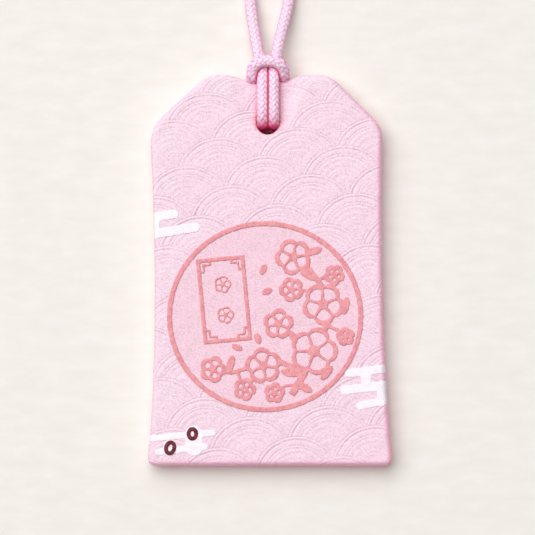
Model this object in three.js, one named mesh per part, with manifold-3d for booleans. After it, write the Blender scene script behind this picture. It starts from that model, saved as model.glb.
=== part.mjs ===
// Omamori charm: a flat brocade pouch around its paper core, and a braided cord hitched through its hole.
// Millimetres. The charm lies on its back: +Z is up through its thickness, +Y runs from the base to the cord.
import * as THREE from 'three';
import { mergeVertices } from 'three/addons/utils/BufferGeometryUtils.js';
import Module from 'manifold-3d';

const wasm = await Module();
wasm.setup();

// Driving dimensions of the pouch
const pouchHeight = 75;
const baseWidth = 46.8;
const waistInset = 1.75;
const shoulderInset = 1.25;
const shoulderRun = 10.5;
const shoulderDrop = 10;
const shoulderLean = 0.7;
const topLean = 0.2;

// Corner roundings and the soft rolled edge
const baseCornerCut = 1.6;
const shoulderCornerCut = 3;
const topCornerCut = 2.2;
const edgeRun = 2.2;
const edgeRise = 1.9;
const flareWidthShares = [0, 1.47];
const flareHeightShares = [0.03, 0.33];

// Cloth, stiffening and the clearances between layers
const clothThickness = 0.7;
const interliningThickness = 0.25;
const layGap = 0.05;
const seamGap = 0.2;
const interliningMargin = 3.3;
const overrun = 2;

// Cord and the hole that it is hitched through
const cordDiameter = 2.1;
const cordSeat = 0.15;
const floorSeat = 0.05;
const holeDiameter = 4.6;
const holeFromTop = 9.1;
const holeOffset = -0.4;
const strandPitch = 2.2;
const legPitch = 6.5;
const archRise = 2.45;
const archLift = 0.32;
const mouthDip = 1.55;
const mouthDipShoulder = 2.4;
const channelSideGap = 0.3;
const dentDepth = 0.65;

// Paper core
const cardThickness = 0.5;
const cardMargin = 3.6;
const cardBelowHole = 3.6;
const sleeveWidth = 24;
const sleeveBelowHole = 8.6;
const sleeveWall = 0.25;
const sleeveFromBase = 7;
const tabletSideGap = 0.3;
const tabletEndInset = 1;

// Sewing thread
const threadDiameter = 0.4;
const threadSeat = 0.15;
const stitchLength = 4;
const stitchSwing = 0.3;
const seamEndInset = 5;

// Woven figures on the front face
const figureHeight = 0.35;
const mistHeight = 0.25;
const lineWidth = 0.95;
const ringSideGap = 2.85;
const ringFlattening = 0.5;
const ringCentreX = -0.9;
const ringCentreHeight = 28.65;
const cartoucheLine = 0.76;
const cartoucheTilt = THREE.MathUtils.degToRad(5.4);

// Values worked out from the dimensions
const waistWidth = baseWidth - 2 * waistInset;
const shoulderWidth = baseWidth - 2 * shoulderInset;
const topWidth = shoulderWidth - 2 * shoulderRun;
const cordRadius = cordDiameter / 2;
const threadRadius = threadDiameter / 2;
const channelDepth = floorSeat + cordDiameter + cordSeat;
const webThickness = 2 * (clothThickness + layGap + interliningThickness) + layGap;
const pouchThickness = channelDepth + webThickness + dentDepth;
const seamLevel = pouchThickness / 2;
const webLevel = channelDepth + webThickness / 2;
const holeRadius = holeDiameter / 2;
const holeHeight = pouchHeight - holeFromTop;
const holeLow = holeHeight - holeRadius;
const mouthHeight = pouchHeight - mouthDip;
const archHeight = pouchHeight + archRise;
const frontLevel = pouchThickness + layGap;
const coreInset = clothThickness + interliningThickness + 2 * layGap;
const cardTopHeight = holeLow - cardBelowHole;
const sleeveTop = holeLow - sleeveBelowHole;
const ringHalfWidth = waistWidth / 2 - ringSideGap;
const ringHalfHeight = ringHalfWidth - ringFlattening;

// Thread and cloth finishes
function finish(color, roughness) {
  return new THREE.MeshStandardMaterial({ color, roughness, metalness: 0 });
}

const finishes = {
  brocade: () => finish('#f6dde9', 0.85),
  brocadeBack: () => finish('#f2d3e0', 0.85),
  interlining: () => finish('#f7f4ee', 0.95),
  card: () => finish('#e9e2d2', 0.9),
  paper: () => finish('#fbf8f0', 0.9),
  wood: () => finish('#dcc39b', 0.7),
  thread: () => finish('#eab4c8', 0.6),
  coral: () => finish('#f0a0a5', 0.55),
  mist: () => finish('#faf3fa', 0.6),
  oval: () => finish('#752f37', 0.6),
  cord: () => finish('#f0c6dd', 0.5),
};

// Solids from three.js geometry, for joining and cutting
const weldReach = 1e-5;

function solidOf(geometry) {
  const bare = geometry.clone();
  bare.deleteAttribute('normal');
  bare.deleteAttribute('uv');
  const merged = mergeVertices(bare, weldReach);
  return new wasm.Manifold(new wasm.Mesh({
    numProp: 3,
    vertProperties: merged.attributes.position.array,
    triVerts: merged.index.array,
  }));
}

function geometryOf(solid) {
  const mesh = solid.getMesh();
  const geometry = new THREE.BufferGeometry();
  geometry.setAttribute('position', new THREE.BufferAttribute(mesh.vertProperties, 3));
  geometry.setIndex(new THREE.BufferAttribute(mesh.triVerts, 1));
  geometry.computeVertexNormals();
  return geometry;
}

function union(solids) {
  return solids.reduce((whole, solid) => whole.add(solid));
}

function boxBetween(low, high) {
  const box = new THREE.BoxGeometry(high[0] - low[0], high[1] - low[1], high[2] - low[2]);
  box.translate((low[0] + high[0]) / 2, (low[1] + high[1]) / 2, (low[2] + high[2]) / 2);
  return solidOf(box);
}

function plate(shape, bottom, top, curveSegments = 8) {
  const depth = top - bottom;
  const geometry = new THREE.ExtrudeGeometry(shape, { depth, bevelEnabled: false, curveSegments });
  geometry.translate(0, 0, bottom);
  return solidOf(geometry);
}

function part(name, solidOrGeometry, material) {
  const geometry = solidOrGeometry.isBufferGeometry ? solidOrGeometry : geometryOf(solidOrGeometry);
  const mesh = new THREE.Mesh(geometry, material);
  mesh.name = name;
  return mesh;
}

// The pouch outline, moved inwards by an inset: side 1 is the right one, -1 the left one
function outlineCorners(inset, side) {
  const lean = { top: -topLean, shoulder: -shoulderLean };
  const top = new THREE.Vector2(side * topWidth / 2 + lean.top, pouchHeight);
  const shoulder = new THREE.Vector2(side * shoulderWidth / 2 + lean.shoulder, pouchHeight - shoulderDrop);
  const along = shoulder.clone().sub(top);
  const outward = new THREE.Vector2(-along.y, along.x).multiplyScalar(side).normalize();
  const start = top.clone().addScaledVector(outward, -inset);
  const topShare = (pouchHeight - inset - start.y) / along.y;
  const shoulderX = shoulder.x - side * inset;
  const shoulderShare = (shoulderX - start.x) / along.x;
  return {
    base: new THREE.Vector2(side * (baseWidth / 2 - inset), inset),
    shoulder: new THREE.Vector2(shoulderX, start.y + shoulderShare * along.y),
    top: new THREE.Vector2(start.x + topShare * along.x, pouchHeight - inset),
  };
}

function towards(from, to, distance) {
  return to.clone().sub(from).setLength(distance).add(from);
}

function flareControls(corners, inset, side) {
  return flareWidthShares.map((widthShare, index) => new THREE.Vector2(
    side * (THREE.MathUtils.lerp(baseWidth, waistWidth, widthShare) / 2 - inset),
    flareHeightShares[index] * corners.shoulder.y,
  ));
}

function pouchOutline(inset) {
  const right = outlineCorners(inset, 1);
  const left = outlineCorners(inset, -1);
  const rightFlare = flareControls(right, inset, 1);
  const leftFlare = flareControls(left, inset, -1);
  const outline = new THREE.Shape();
  const curve = (corner, end) => outline.quadraticCurveTo(corner.x, corner.y, end.x, end.y);
  const line = (end) => outline.lineTo(end.x, end.y);
  outline.moveTo(left.base.x + baseCornerCut, left.base.y);
  line(towards(right.base, left.base, baseCornerCut));
  curve(right.base, new THREE.Vector2(right.base.x, right.base.y + baseCornerCut));
  outline.bezierCurveTo(rightFlare[0].x, rightFlare[0].y, rightFlare[1].x, rightFlare[1].y,
    right.shoulder.x, right.shoulder.y - shoulderCornerCut);
  curve(right.shoulder, towards(right.shoulder, right.top, shoulderCornerCut));
  line(towards(right.top, right.shoulder, topCornerCut));
  curve(right.top, towards(right.top, left.top, topCornerCut));
  line(towards(left.top, right.top, topCornerCut));
  curve(left.top, towards(left.top, left.shoulder, topCornerCut));
  line(towards(left.shoulder, left.top, shoulderCornerCut));
  curve(left.shoulder, new THREE.Vector2(left.shoulder.x, left.shoulder.y - shoulderCornerCut));
  outline.bezierCurveTo(leftFlare[1].x, leftFlare[1].y, leftFlare[0].x, leftFlare[0].y,
    left.base.x, left.base.y + baseCornerCut);
  curve(left.base, new THREE.Vector2(left.base.x + baseCornerCut, left.base.y));
  return outline;
}

// A closed solid from rings of equally many points, lowest first, with flat ends
function loft(rings) {
  const count = rings[0].points.length;
  const positions = rings.flatMap((ring) => ring.points.flatMap((point) => [point.x, point.y, ring.level]));
  const faces = [];
  for (let ring = 0; ring + 1 < rings.length; ring += 1) {
    for (let index = 0; index < count; index += 1) {
      const next = (index + 1) % count;
      const low = ring * count;
      const high = low + count;
      faces.push(low + index, low + next, high + next);
      faces.push(low + index, high + next, high + index);
    }
  }
  const topStart = (rings.length - 1) * count;
  THREE.ShapeUtils.triangulateShape(rings[0].points, []).forEach(([a, b, c]) => faces.push(a, c, b));
  THREE.ShapeUtils.triangulateShape(rings.at(-1).points, []).forEach(([a, b, c]) => {
    faces.push(topStart + a, topStart + b, topStart + c);
  });
  const geometry = new THREE.BufferGeometry();
  geometry.setAttribute('position', new THREE.Float32BufferAttribute(positions, 3));
  geometry.setIndex(faces);
  return geometry;
}

function outlinePoints(inset, divisions) {
  const points = pouchOutline(inset).getPoints(divisions);
  return points[0].distanceTo(points.at(-1)) < layGap ? points.slice(0, -1) : points;
}

// The plan of the cord's channel, from the hole out past the mouth
function channelPlan(grow) {
  const holeHalf = strandPitch / 2 + cordRadius + channelSideGap + grow;
  const mouthHalf = legPitch / 2 + cordRadius + channelSideGap + grow;
  const plan = new THREE.Shape();
  plan.moveTo(holeOffset - holeHalf, holeHeight - grow);
  plan.lineTo(holeOffset + holeHalf, holeHeight - grow);
  plan.lineTo(holeOffset + mouthHalf, mouthHeight - cordDiameter);
  plan.lineTo(holeOffset + mouthHalf, pouchHeight + overrun);
  plan.lineTo(holeOffset - mouthHalf, pouchHeight + overrun);
  plan.lineTo(holeOffset - mouthHalf, mouthHeight - cordDiameter);
  plan.closePath();
  return plan;
}

function mouthPlan(grow) {
  const half = legPitch / 2 + cordRadius + cordSeat + grow;
  const shoulder = half + mouthDipShoulder;
  const low = mouthHeight - grow;
  const plan = new THREE.Shape();
  plan.moveTo(holeOffset - half, low);
  plan.lineTo(holeOffset + half, low);
  const bend = half + mouthDipShoulder / 2;
  plan.quadraticCurveTo(holeOffset + bend, low, holeOffset + shoulder, pouchHeight - grow);
  plan.lineTo(holeOffset + shoulder, pouchHeight + overrun);
  plan.lineTo(holeOffset - shoulder, pouchHeight + overrun);
  plan.lineTo(holeOffset - shoulder, pouchHeight - grow);
  plan.quadraticCurveTo(holeOffset - bend, low, holeOffset - half, low);
  return plan;
}

function holeTool() {
  const tool = new THREE.CylinderGeometry(holeRadius, holeRadius, pouchThickness + 2 * overrun, 32);
  tool.rotateX(Math.PI / 2);
  tool.translate(holeOffset, holeHeight, seamLevel);
  return solidOf(tool);
}

// The pouch's whole body at a depth below its skin, dented where the cord lies
const edgeRiseShare = 0.45;
const edgeSteps = 4;
const outlineDivisions = 5;

function envelope(depth) {
  const run = Math.max(edgeRun - depth, layGap);
  const rise = Math.max(Math.min(edgeRise, edgeRiseShare * pouchThickness) - depth, layGap);
  const half = [];
  for (let step = 0; step <= edgeSteps; step += 1) {
    const turn = (step / edgeSteps) * Math.PI / 2;
    half.push({ inset: depth + run * (1 - Math.sin(turn)), level: depth + rise * (1 - Math.cos(turn)) });
  }
  const upper = half.map(({ inset, level }) => ({ inset, level: pouchThickness - level })).reverse();
  const rings = [...half, ...upper].map(({ inset, level }) => ({
    level,
    points: outlinePoints(inset, outlineDivisions),
  }));
  return solidOf(loft(rings))
    .subtract(plate(channelPlan(depth), -overrun, channelDepth + depth))
    .subtract(plate(channelPlan(depth), pouchThickness - dentDepth - depth, pouchThickness + overrun))
    .subtract(plate(mouthPlan(depth), -overrun, pouchThickness + overrun));
}

function layer(outerDepth, innerDepth) {
  return envelope(outerDepth).subtract(envelope(innerDepth)).subtract(holeTool());
}

// Everything behind the seam, which steps up where the cord's channel lifts the back
function behindSeam(shift) {
  const wide = baseWidth;
  const slab = boxBetween([-wide, -overrun, -overrun], [wide, pouchHeight + overrun, seamLevel + shift]);
  return slab.add(plate(channelPlan(coreInset + shift), -overrun, webLevel + shift));
}

function panels() {
  const cloth = layer(0, clothThickness);
  const front = cloth.subtract(behindSeam(seamGap / 2));
  const back = cloth.intersect(behindSeam(-seamGap / 2));
  const flat = pouchOutline(interliningMargin);
  const within = plate(flat, 0, pouchThickness);
  const outerDepth = clothThickness + layGap;
  const stiffening = layer(outerDepth, outerDepth + interliningThickness).intersect(within);
  return [
    part('back_panel', back, finishes.brocadeBack()),
    part('front_panel', front, finishes.brocade()),
    part('back_interlining', stiffening.intersect(behindSeam(-layGap / 2)), finishes.interlining()),
    part('front_interlining', stiffening.subtract(behindSeam(layGap / 2)), finishes.interlining()),
  ];
}

// Folded card, and the wrapped tablet that it holds
function paperCore() {
  const low = coreInset + layGap;
  const high = pouchThickness - low;
  const wide = baseWidth;
  const cardBlank = plate(pouchOutline(cardMargin), low, high)
    .subtract(boxBetween([-wide, cardTopHeight, -overrun], [wide, pouchHeight, pouchThickness + overrun]));
  const innerLow = low + cardThickness;
  const innerHigh = high - cardThickness;
  const card = cardBlank.subtract(boxBetween(
    [-wide, cardMargin + cardThickness, innerLow],
    [wide, pouchHeight, innerHigh],
  ));
  const sleeveLow = innerLow + layGap;
  const sleeveHigh = innerHigh - layGap;
  const sleeveHalf = sleeveWidth / 2;
  const sleeve = boxBetween([-sleeveHalf, sleeveFromBase, sleeveLow], [sleeveHalf, sleeveTop, sleeveHigh])
    .subtract(boxBetween(
      [sleeveWall - sleeveHalf, sleeveFromBase - overrun, sleeveLow + sleeveWall],
      [sleeveHalf - sleeveWall, sleeveTop + overrun, sleeveHigh - sleeveWall],
    ));
  const tabletHalf = sleeveHalf - sleeveWall - tabletSideGap;
  const tablet = boxBetween(
    [-tabletHalf, sleeveFromBase + tabletEndInset, sleeveLow + sleeveWall + layGap],
    [tabletHalf, sleeveTop - tabletEndInset, sleeveHigh - sleeveWall - layGap],
  );
  return [
    part('folded_card', card, finishes.card()),
    part('paper_sleeve', sleeve, finishes.paper()),
    part('prayer_tablet', tablet, finishes.wood()),
  ];
}

// A round tube along a smooth curve
function tubeAlong(curve, radius, steps, sides) {
  const section = new THREE.Shape();
  for (let side = 0; side < sides; side += 1) {
    const turn = (side / sides) * 2 * Math.PI;
    const point = [radius * Math.cos(turn), radius * Math.sin(turn)];
    if (side === 0) {
      section.moveTo(...point);
    } else {
      section.lineTo(...point);
    }
  }
  section.closePath();
  return new THREE.ExtrudeGeometry(section, { steps, extrudePath: curve, curveSegments: 1 });
}

// Seam threads run in small waves just inside the rolled edge
const waveSteps = 4;

function seamThread(name, from, to) {
  const length = from.distanceTo(to);
  const waves = Math.max(Math.round(length / stitchLength), 1);
  const steps = waves * waveSteps;
  const points = [];
  for (let step = 0; step <= steps; step += 1) {
    const share = step / steps;
    const place = from.clone().lerp(to, share);
    const swing = stitchSwing * Math.sin(share * waves * 2 * Math.PI);
    points.push(new THREE.Vector3(place.x, place.y, seamLevel + swing));
  }
  return part(name, tubeAlong(new THREE.CatmullRomCurve3(points), threadRadius, steps, 5), finishes.thread());
}

function sidePath(side, inset) {
  const corners = outlineCorners(inset, side);
  const controls = flareControls(corners, inset, side);
  const curve = new THREE.CubicBezierCurve(
    new THREE.Vector2(corners.base.x, corners.base.y + baseCornerCut), controls[0], controls[1],
    new THREE.Vector2(corners.shoulder.x, corners.shoulder.y - shoulderCornerCut),
  );
  return { corners, curve };
}

function sideThread(name, side) {
  const inset = clothThickness + threadSeat + threadRadius;
  const { corners, curve } = sidePath(side, inset);
  const low = corners.base.y + seamEndInset;
  const high = corners.shoulder.y - seamEndInset;
  const waves = Math.round((high - low) / stitchLength);
  const steps = waves * waveSteps;
  const table = curve.getPoints(steps);
  const points = [];
  for (let step = 0; step <= steps; step += 1) {
    const height = THREE.MathUtils.lerp(low, high, step / steps);
    const above = Math.max(table.findIndex((point) => point.y >= height), 1);
    const [before, after] = [table[above - 1], table[above]];
    const share = (height - before.y) / (after.y - before.y);
    const swing = stitchSwing * Math.sin((step / waveSteps) * 2 * Math.PI);
    points.push(new THREE.Vector3(THREE.MathUtils.lerp(before.x, after.x, share), height, seamLevel + swing));
  }
  return part(name, tubeAlong(new THREE.CatmullRomCurve3(points), threadRadius, steps, 5), finishes.thread());
}

function seamThreads() {
  const inset = clothThickness + threadSeat + threadRadius;
  const right = outlineCorners(inset, 1);
  const left = outlineCorners(inset, -1);
  return [
    sideThread('side_seam_thread_left', -1),
    sideThread('side_seam_thread_right', 1),
    seamThread('base_seam_thread', towards(left.base, right.base, seamEndInset),
      towards(right.base, left.base, seamEndInset)),
    seamThread('shoulder_seam_thread_left', towards(left.shoulder, left.top, shoulderCornerCut),
      towards(left.top, left.shoulder, topCornerCut)),
    seamThread('shoulder_seam_thread_right', towards(right.shoulder, right.top, shoulderCornerCut),
      towards(right.top, right.shoulder, topCornerCut)),
  ];
}

// Held part of the cord: down the front, round the web through the hole, up the back, and over as the arch
function hitchSide(side) {
  const near = side * strandPitch / 2;
  const far = side * legPitch / 2;
  const turnRadius = webThickness / 2 + cordSeat + cordRadius;
  const turnHeight = holeHeight + holeRadius - cordSeat;
  const frontLay = webLevel + turnRadius;
  const backLay = webLevel - turnRadius;
  const underArch = frontLay - 1.6 * cordRadius;
  const archLevel = underArch + cordDiameter + archLift;
  const at = (x, y, z) => new THREE.Vector3(holeOffset + x, y, z);
  const turn = [];
  for (let step = 0; step <= 6; step += 1) {
    const angle = Math.PI / 2 + (step / 6) * Math.PI;
    turn.push(at(near, turnHeight + turnRadius * Math.cos(angle), webLevel + turnRadius * Math.sin(angle)));
  }
  const reach = cordRadius + 1.4 * cordSeat;
  const roundEdge = [-75, -50, -25, 0].map((degrees) => {
    const angle = THREE.MathUtils.degToRad(degrees);
    return at(far, mouthHeight + reach * Math.cos(angle), channelDepth + reach * Math.sin(angle));
  });
  return {
    front: [
      at(near * 1.6, archHeight + 1.05 * cordRadius, underArch - 0.35 * cordRadius),
      at(near * 1.25, archHeight, underArch),
      at(near * 1.02, archHeight - 1.6 * cordRadius, underArch + 0.75 * cordRadius),
      at(near, archHeight - 3.4 * cordRadius, frontLay - 0.12 * cordRadius),
      at(near, mouthHeight - cordDiameter, frontLay),
    ],
    turn,
    back: [
      at(THREE.MathUtils.lerp(near, far, 0.4), turnHeight + 0.75 * cordDiameter, backLay),
      at(THREE.MathUtils.lerp(near, far, 0.8), turnHeight + 1.55 * cordDiameter, backLay),
      at(far * 0.98, mouthHeight - 0.5 * reach, backLay),
      ...roundEdge,
      at(far, mouthHeight + 1.15 * reach, channelDepth + 0.9 * reach),
      at(far, mouthHeight + 1.45 * reach, channelDepth + 1.85 * reach),
      at(far * 0.96, archHeight - 1.4 * cordRadius, archLevel - 0.75 * cordRadius),
      at(far * 0.8, archHeight - 0.72 * cordRadius, archLevel - 0.2 * cordRadius),
      at(far * 0.45, archHeight - 0.12 * cordRadius, archLevel),
    ],
    crown: at(0, archHeight, archLevel),
  };
}

function cordHitch() {
  const left = hitchSide(-1);
  const right = hitchSide(1);
  const route = [
    ...left.front, ...left.turn, ...left.back, left.crown,
    ...right.back.toReversed(), ...right.turn.toReversed(), ...right.front.toReversed(),
  ];
  const curve = new THREE.CatmullRomCurve3(route, false, 'centripetal');
  return part('cord_hitch', tubeAlong(curve, cordRadius, 100, 8), finishes.cord());
}

// Free cord: two strands leave the hitch, part, run on side by side and meet in the end knot
const strandRoutes = {
  left: [
    [-2.14, 78.95, 3.6], [-2.42, 80.4, 3.3], [-2.8, 82.4, 2.92], [-3.15, 84.6, 2.5], [-3.45, 86.8, 2.1],
    [-3.72, 89.2, 1.7], [-3.95, 93, 1.25], [-4.15, 98, 1.1], [-4.2, 103, 1.1], [-4.0, 108, 1.1],
    [-3.5, 113, 1.15], [-2.75, 117.3, 1.45], [-2.0, 120.4, 2.1], [-1.4, 122.7, 2.9],
  ],
  right: [
    [1.32, 78.95, 3.6], [1.6, 80.4, 3.3], [2.05, 82.4, 2.92], [2.6, 84.6, 2.5], [3.15, 86.8, 2.1],
    [3.62, 89.2, 1.7], [3.95, 93, 1.25], [4.2, 98, 1.1], [4.25, 103, 1.1], [4.05, 108, 1.1],
    [3.55, 113, 1.15], [2.8, 117.3, 1.45], [2.05, 120.4, 2.1], [1.4, 122.7, 2.9],
  ],
};
const loopPivotHeight = 83.5;
const loopPivotLevel = 4.8;
const neckReach = 6;
const neckGap = 0.3;
const knotCentreHeight = 126.3;
const knotLevel = 3.4;
const knotRadius = 3.3;
const knotLength = 6.6;
const knotTailLength = 6;
const knotTailSpread = 1.35;

function reachTool(radius) {
  const tool = new THREE.CylinderGeometry(radius, radius, 4 * loopPivotLevel, 48);
  tool.rotateX(Math.PI / 2);
  tool.translate(holeOffset, loopPivotHeight, 0);
  return solidOf(tool);
}

function freeStrands() {
  return Object.entries(strandRoutes).flatMap(([side, route]) => {
    const curve = new THREE.CatmullRomCurve3(route.map((point) => new THREE.Vector3(...point)));
    const tube = solidOf(tubeAlong(curve, cordRadius, 22, 8));
    return [
      part(`cord_neck_${side}`, tube.intersect(reachTool(neckReach)), finishes.cord()),
      part(`cord_strand_${side}`, tube.subtract(reachTool(neckReach + neckGap)), finishes.cord()),
    ];
  });
}

// End knot: three turns of cord drawn tight, with two short tails
function cordKnot() {
  const profile = [new THREE.Vector2(0, -knotLength / 2)];
  const turns = 3;
  const turnLength = knotLength / turns;
  const turnSteps = 4;
  for (let turn = 0; turn < turns; turn += 1) {
    const fullness = turn === 1 ? knotRadius : 0.86 * knotRadius;
    for (let step = 0; step <= turnSteps; step += 1) {
      const angle = (step / turnSteps) * Math.PI;
      const reach = fullness - turnLength / 2 * (1 - Math.sin(angle));
      const along = -knotLength / 2 + turnLength * (turn + 0.5 - 0.49 * Math.cos(angle));
      profile.push(new THREE.Vector2(reach, along));
    }
  }
  profile.push(new THREE.Vector2(0, knotLength / 2));
  const body = new THREE.LatheGeometry(profile, 16);
  body.translate(0, knotCentreHeight, knotLevel);
  const tailHeight = knotCentreHeight + knotLength / 2 + 0.3 * knotTailLength;
  const tails = [-1, 1].map((side) => {
    const tail = new THREE.CapsuleGeometry(cordRadius, knotTailLength, 3, 8);
    tail.rotateZ(side * -0.16);
    tail.translate(side * knotTailSpread, tailHeight, knotLevel);
    return solidOf(tail);
  });
  return part('cord_knot', union([solidOf(body), ...tails]), finishes.cord());
}

// Flat woven figures, as plates on the front face
function band(outer, inner, height) {
  outer.holes.push(inner);
  return plate(outer, frontLevel, frontLevel + height, 24);
}

function ellipse(x, y, halfX, halfY, turn = 0) {
  const shape = new THREE.Shape();
  shape.absellipse(x, y, halfX, halfY, 0, 2 * Math.PI, false, turn);
  return shape;
}

function medallionRing() {
  const outer = ellipse(ringCentreX, ringCentreHeight, ringHalfWidth, ringHalfHeight);
  const inner = ellipse(ringCentreX, ringCentreHeight, ringHalfWidth - lineWidth, ringHalfHeight - lineWidth);
  return part('medallion_ring', band(outer, inner, figureHeight), finishes.coral());
}

// A straight bar with round ends between two places, given as plan points
function bar(from, to, width, height = figureHeight) {
  const along = to.clone().sub(from);
  const angle = Math.atan2(along.y, along.x);
  const shape = new THREE.Shape();
  shape.absarc(from.x, from.y, width / 2, angle + Math.PI / 2, angle + 3 * Math.PI / 2);
  shape.absarc(to.x, to.y, width / 2, angle - Math.PI / 2, angle + Math.PI / 2);
  shape.closePath();
  return plate(shape, frontLevel, frontLevel + height, 3);
}

// Places in the ring are shares of its inner half sizes, and figure sizes are shares of its half width: each is
// the real length over that of the real ring
const cartouchePlaceShares = [-7.88 / 17.85, 3.25 / 17.35];
const cartoucheWidthShare = 9.3 / 18.8;
const cartoucheHeightShare = 16.35 / 18.8;
const cartoucheCornerShare = 2.6 / 18.8;
const cartoucheBlossomShare = 3.4 / 18.8;

function inRing([shareX, shareY]) {
  return new THREE.Vector2(
    ringCentreX + shareX * (ringHalfWidth - lineWidth),
    ringCentreHeight + shareY * (ringHalfHeight - lineWidth),
  );
}

function cartouche() {
  const halfX = cartoucheWidthShare * ringHalfWidth / 2;
  const halfY = cartoucheHeightShare * ringHalfWidth / 2;
  const reach = cartoucheCornerShare * ringHalfWidth;
  const centre = inRing(cartouchePlaceShares);
  const middlePoint = new THREE.Vector2();
  const place = (x, y) => new THREE.Vector2(x, y).rotateAround(middlePoint, cartoucheTilt).add(centre);
  const rectangle = (inset) => new THREE.Shape([
    place(inset - halfX, inset - halfY), place(halfX - inset, inset - halfY),
    place(halfX - inset, halfY - inset), place(inset - halfX, halfY - inset),
  ]);
  const solids = [band(rectangle(0), rectangle(cartoucheLine), figureHeight)];
  for (const sideX of [-1, 1]) {
    for (const sideY of [-1, 1]) {
      const corner = (x, y) => place(sideX * (halfX - x), sideY * (halfY - y));
      const step = reach / 2;
      const start = cartoucheLine / 2;
      solids.push(bar(corner(reach, start), corner(reach, step), cartoucheLine / 2));
      solids.push(bar(corner(reach, step), corner(step, step), cartoucheLine / 2));
      solids.push(bar(corner(step, step), corner(step, reach), cartoucheLine / 2));
      solids.push(bar(corner(step, reach), corner(start, reach), cartoucheLine / 2));
    }
  }
  const blossoms = ['lower', 'upper'].map((name, index) => {
    const spot = place(0, (index * 2 - 1) * halfY * 0.36);
    const solid = blossom(spot, cartoucheBlossomShare * ringHalfWidth / 2, cartoucheTilt, cartoucheLine / 2);
    return part(`cartouche_blossom_${name}`, solid, finishes.coral());
  });
  return [part('cartouche_frame', union(solids), finishes.coral()), ...blossoms];
}

// A line through plan points that tapers to a part of its width
const taperShare = 0.55;

function ribbon(points, width) {
  const edges = points.map((point, index) => {
    const before = points[Math.max(index - 1, 0)];
    const after = points[Math.min(index + 1, points.length - 1)];
    const half = (width / 2) * THREE.MathUtils.lerp(1, taperShare, index / (points.length - 1));
    const across = after.clone().sub(before).rotateAround(new THREE.Vector2(), Math.PI / 2).setLength(half);
    return [point.clone().sub(across), point.clone().add(across)];
  });
  const rightEdge = edges.map(([right]) => right);
  const leftEdge = edges.map(([, left]) => left);
  const shape = new THREE.Shape([...rightEdge, ...leftEdge.reverse()]);
  return plate(shape, frontLevel, frontLevel + figureHeight);
}

// Five-petalled blossom: an outline, the lines between its petals and a round centre
const petalCount = 5;
const petalDepthShare = 0.2;

function petalOutline(centre, radius, turn) {
  const shape = new THREE.Shape();
  const samples = petalCount * 6;
  for (let sample = 0; sample < samples; sample += 1) {
    const angle = (sample / samples) * 2 * Math.PI;
    const lobe = Math.abs(Math.cos(petalCount * angle / 2)) ** 0.7;
    const reach = radius * (1 - petalDepthShare + petalDepthShare * lobe);
    const point = [centre.x + reach * Math.cos(angle + turn), centre.y + reach * Math.sin(angle + turn)];
    if (sample === 0) {
      shape.moveTo(...point);
    } else {
      shape.lineTo(...point);
    }
  }
  shape.closePath();
  return shape;
}

function blossom(centre, radius, turn, line) {
  const rim = petalOutline(centre, radius, turn);
  const solids = [band(rim, petalOutline(centre, radius - line, turn), figureHeight)];
  for (let petal = 0; petal < petalCount; petal += 1) {
    const angle = turn + ((petal + 0.5) / petalCount) * 2 * Math.PI;
    const notch = centre.clone().add(new THREE.Vector2(Math.cos(angle), Math.sin(angle))
      .multiplyScalar(radius * (1 - petalDepthShare) - line / 2));
    solids.push(ribbon([centre, notch], line * 0.8));
  }
  const heart = radius * 0.24;
  solids.push(plate(ellipse(centre.x, centre.y, heart, heart), frontLevel, frontLevel + figureHeight));
  return union(solids);
}

// Blossom spray inside the ring
const branchShares = [
  [
    [0.28, -0.86], [0.42, -0.62], [0.5, -0.36], [0.66, -0.1],
    [0.7, 0.16], [0.56, 0.4], [0.4, 0.6], [0.18, 0.72],
  ],
  [[0.42, -0.62], [0.16, -0.5], [-0.08, -0.52], [-0.36, -0.62], [-0.58, -0.56]],
  [[0.5, -0.36], [0.28, -0.18], [0.1, -0.06]],
  [[0.66, -0.1], [0.76, -0.14], [0.85, -0.2]],
  [[0.56, 0.4], [0.74, 0.5]],
  [[0.62, 0.3], [0.46, 0.28], [0.32, 0.32]],
  [[0.34, -0.76], [0.22, -0.76], [0.12, -0.82]],
  [[-0.3, -0.6], [-0.26, -0.7], [-0.2, -0.78]],
];
const branchWidthShares = [1.5, 1.15, 0.9, 0.8, 0.8, 0.8, 0.7, 0.7];
const blossomShares = [
  [0.52, -0.38, 0.25], [0.62, 0.14, 0.22], [0.3, 0.66, 0.19], [-0.02, -0.54, 0.19], [0.14, -0.08, 0.16],
  [-0.56, -0.58, 0.14], [0.74, 0.46, 0.11], [0.28, 0.3, 0.13], [0.86, -0.22, 0.1], [0.1, -0.84, 0.11],
  [-0.22, -0.8, 0.12],
];
const leafShares = [
  [0.66, -0.62, 0.9], [0.42, -0.78, -0.5], [0.86, 0.12, 1.4], [0.46, 0.46, 2.6], [0.52, 0.72, 0.3],
  [0.34, -0.26, 2.5], [0.26, -0.62, 2.9], [-0.37, -0.52, 1.3],
];
const leafLengthShare = 3.4 / 18.8;
const leafWidthShare = 1.5 / 18.8;
const petalShares = [[0.02, 0.28, 0.4], [-0.08, -0.24, 1.9], [-0.3, -0.34, 2.8], [-0.02, 0.52, 1.1]];
const petalLengthShare = 2.2 / 18.8;
const petalWidthShare = 1.3 / 18.8;

// A small oval plate in the ring, its size in shares of the ring's half width
function smallOval([shareX, shareY, turn], lengthShare, widthShare) {
  const centre = inRing([shareX, shareY]);
  const [halfX, halfY] = [lengthShare, widthShare].map((share) => share * ringHalfWidth / 2);
  return plate(ellipse(centre.x, centre.y, halfX, halfY, turn), frontLevel, frontLevel + figureHeight);
}

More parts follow.
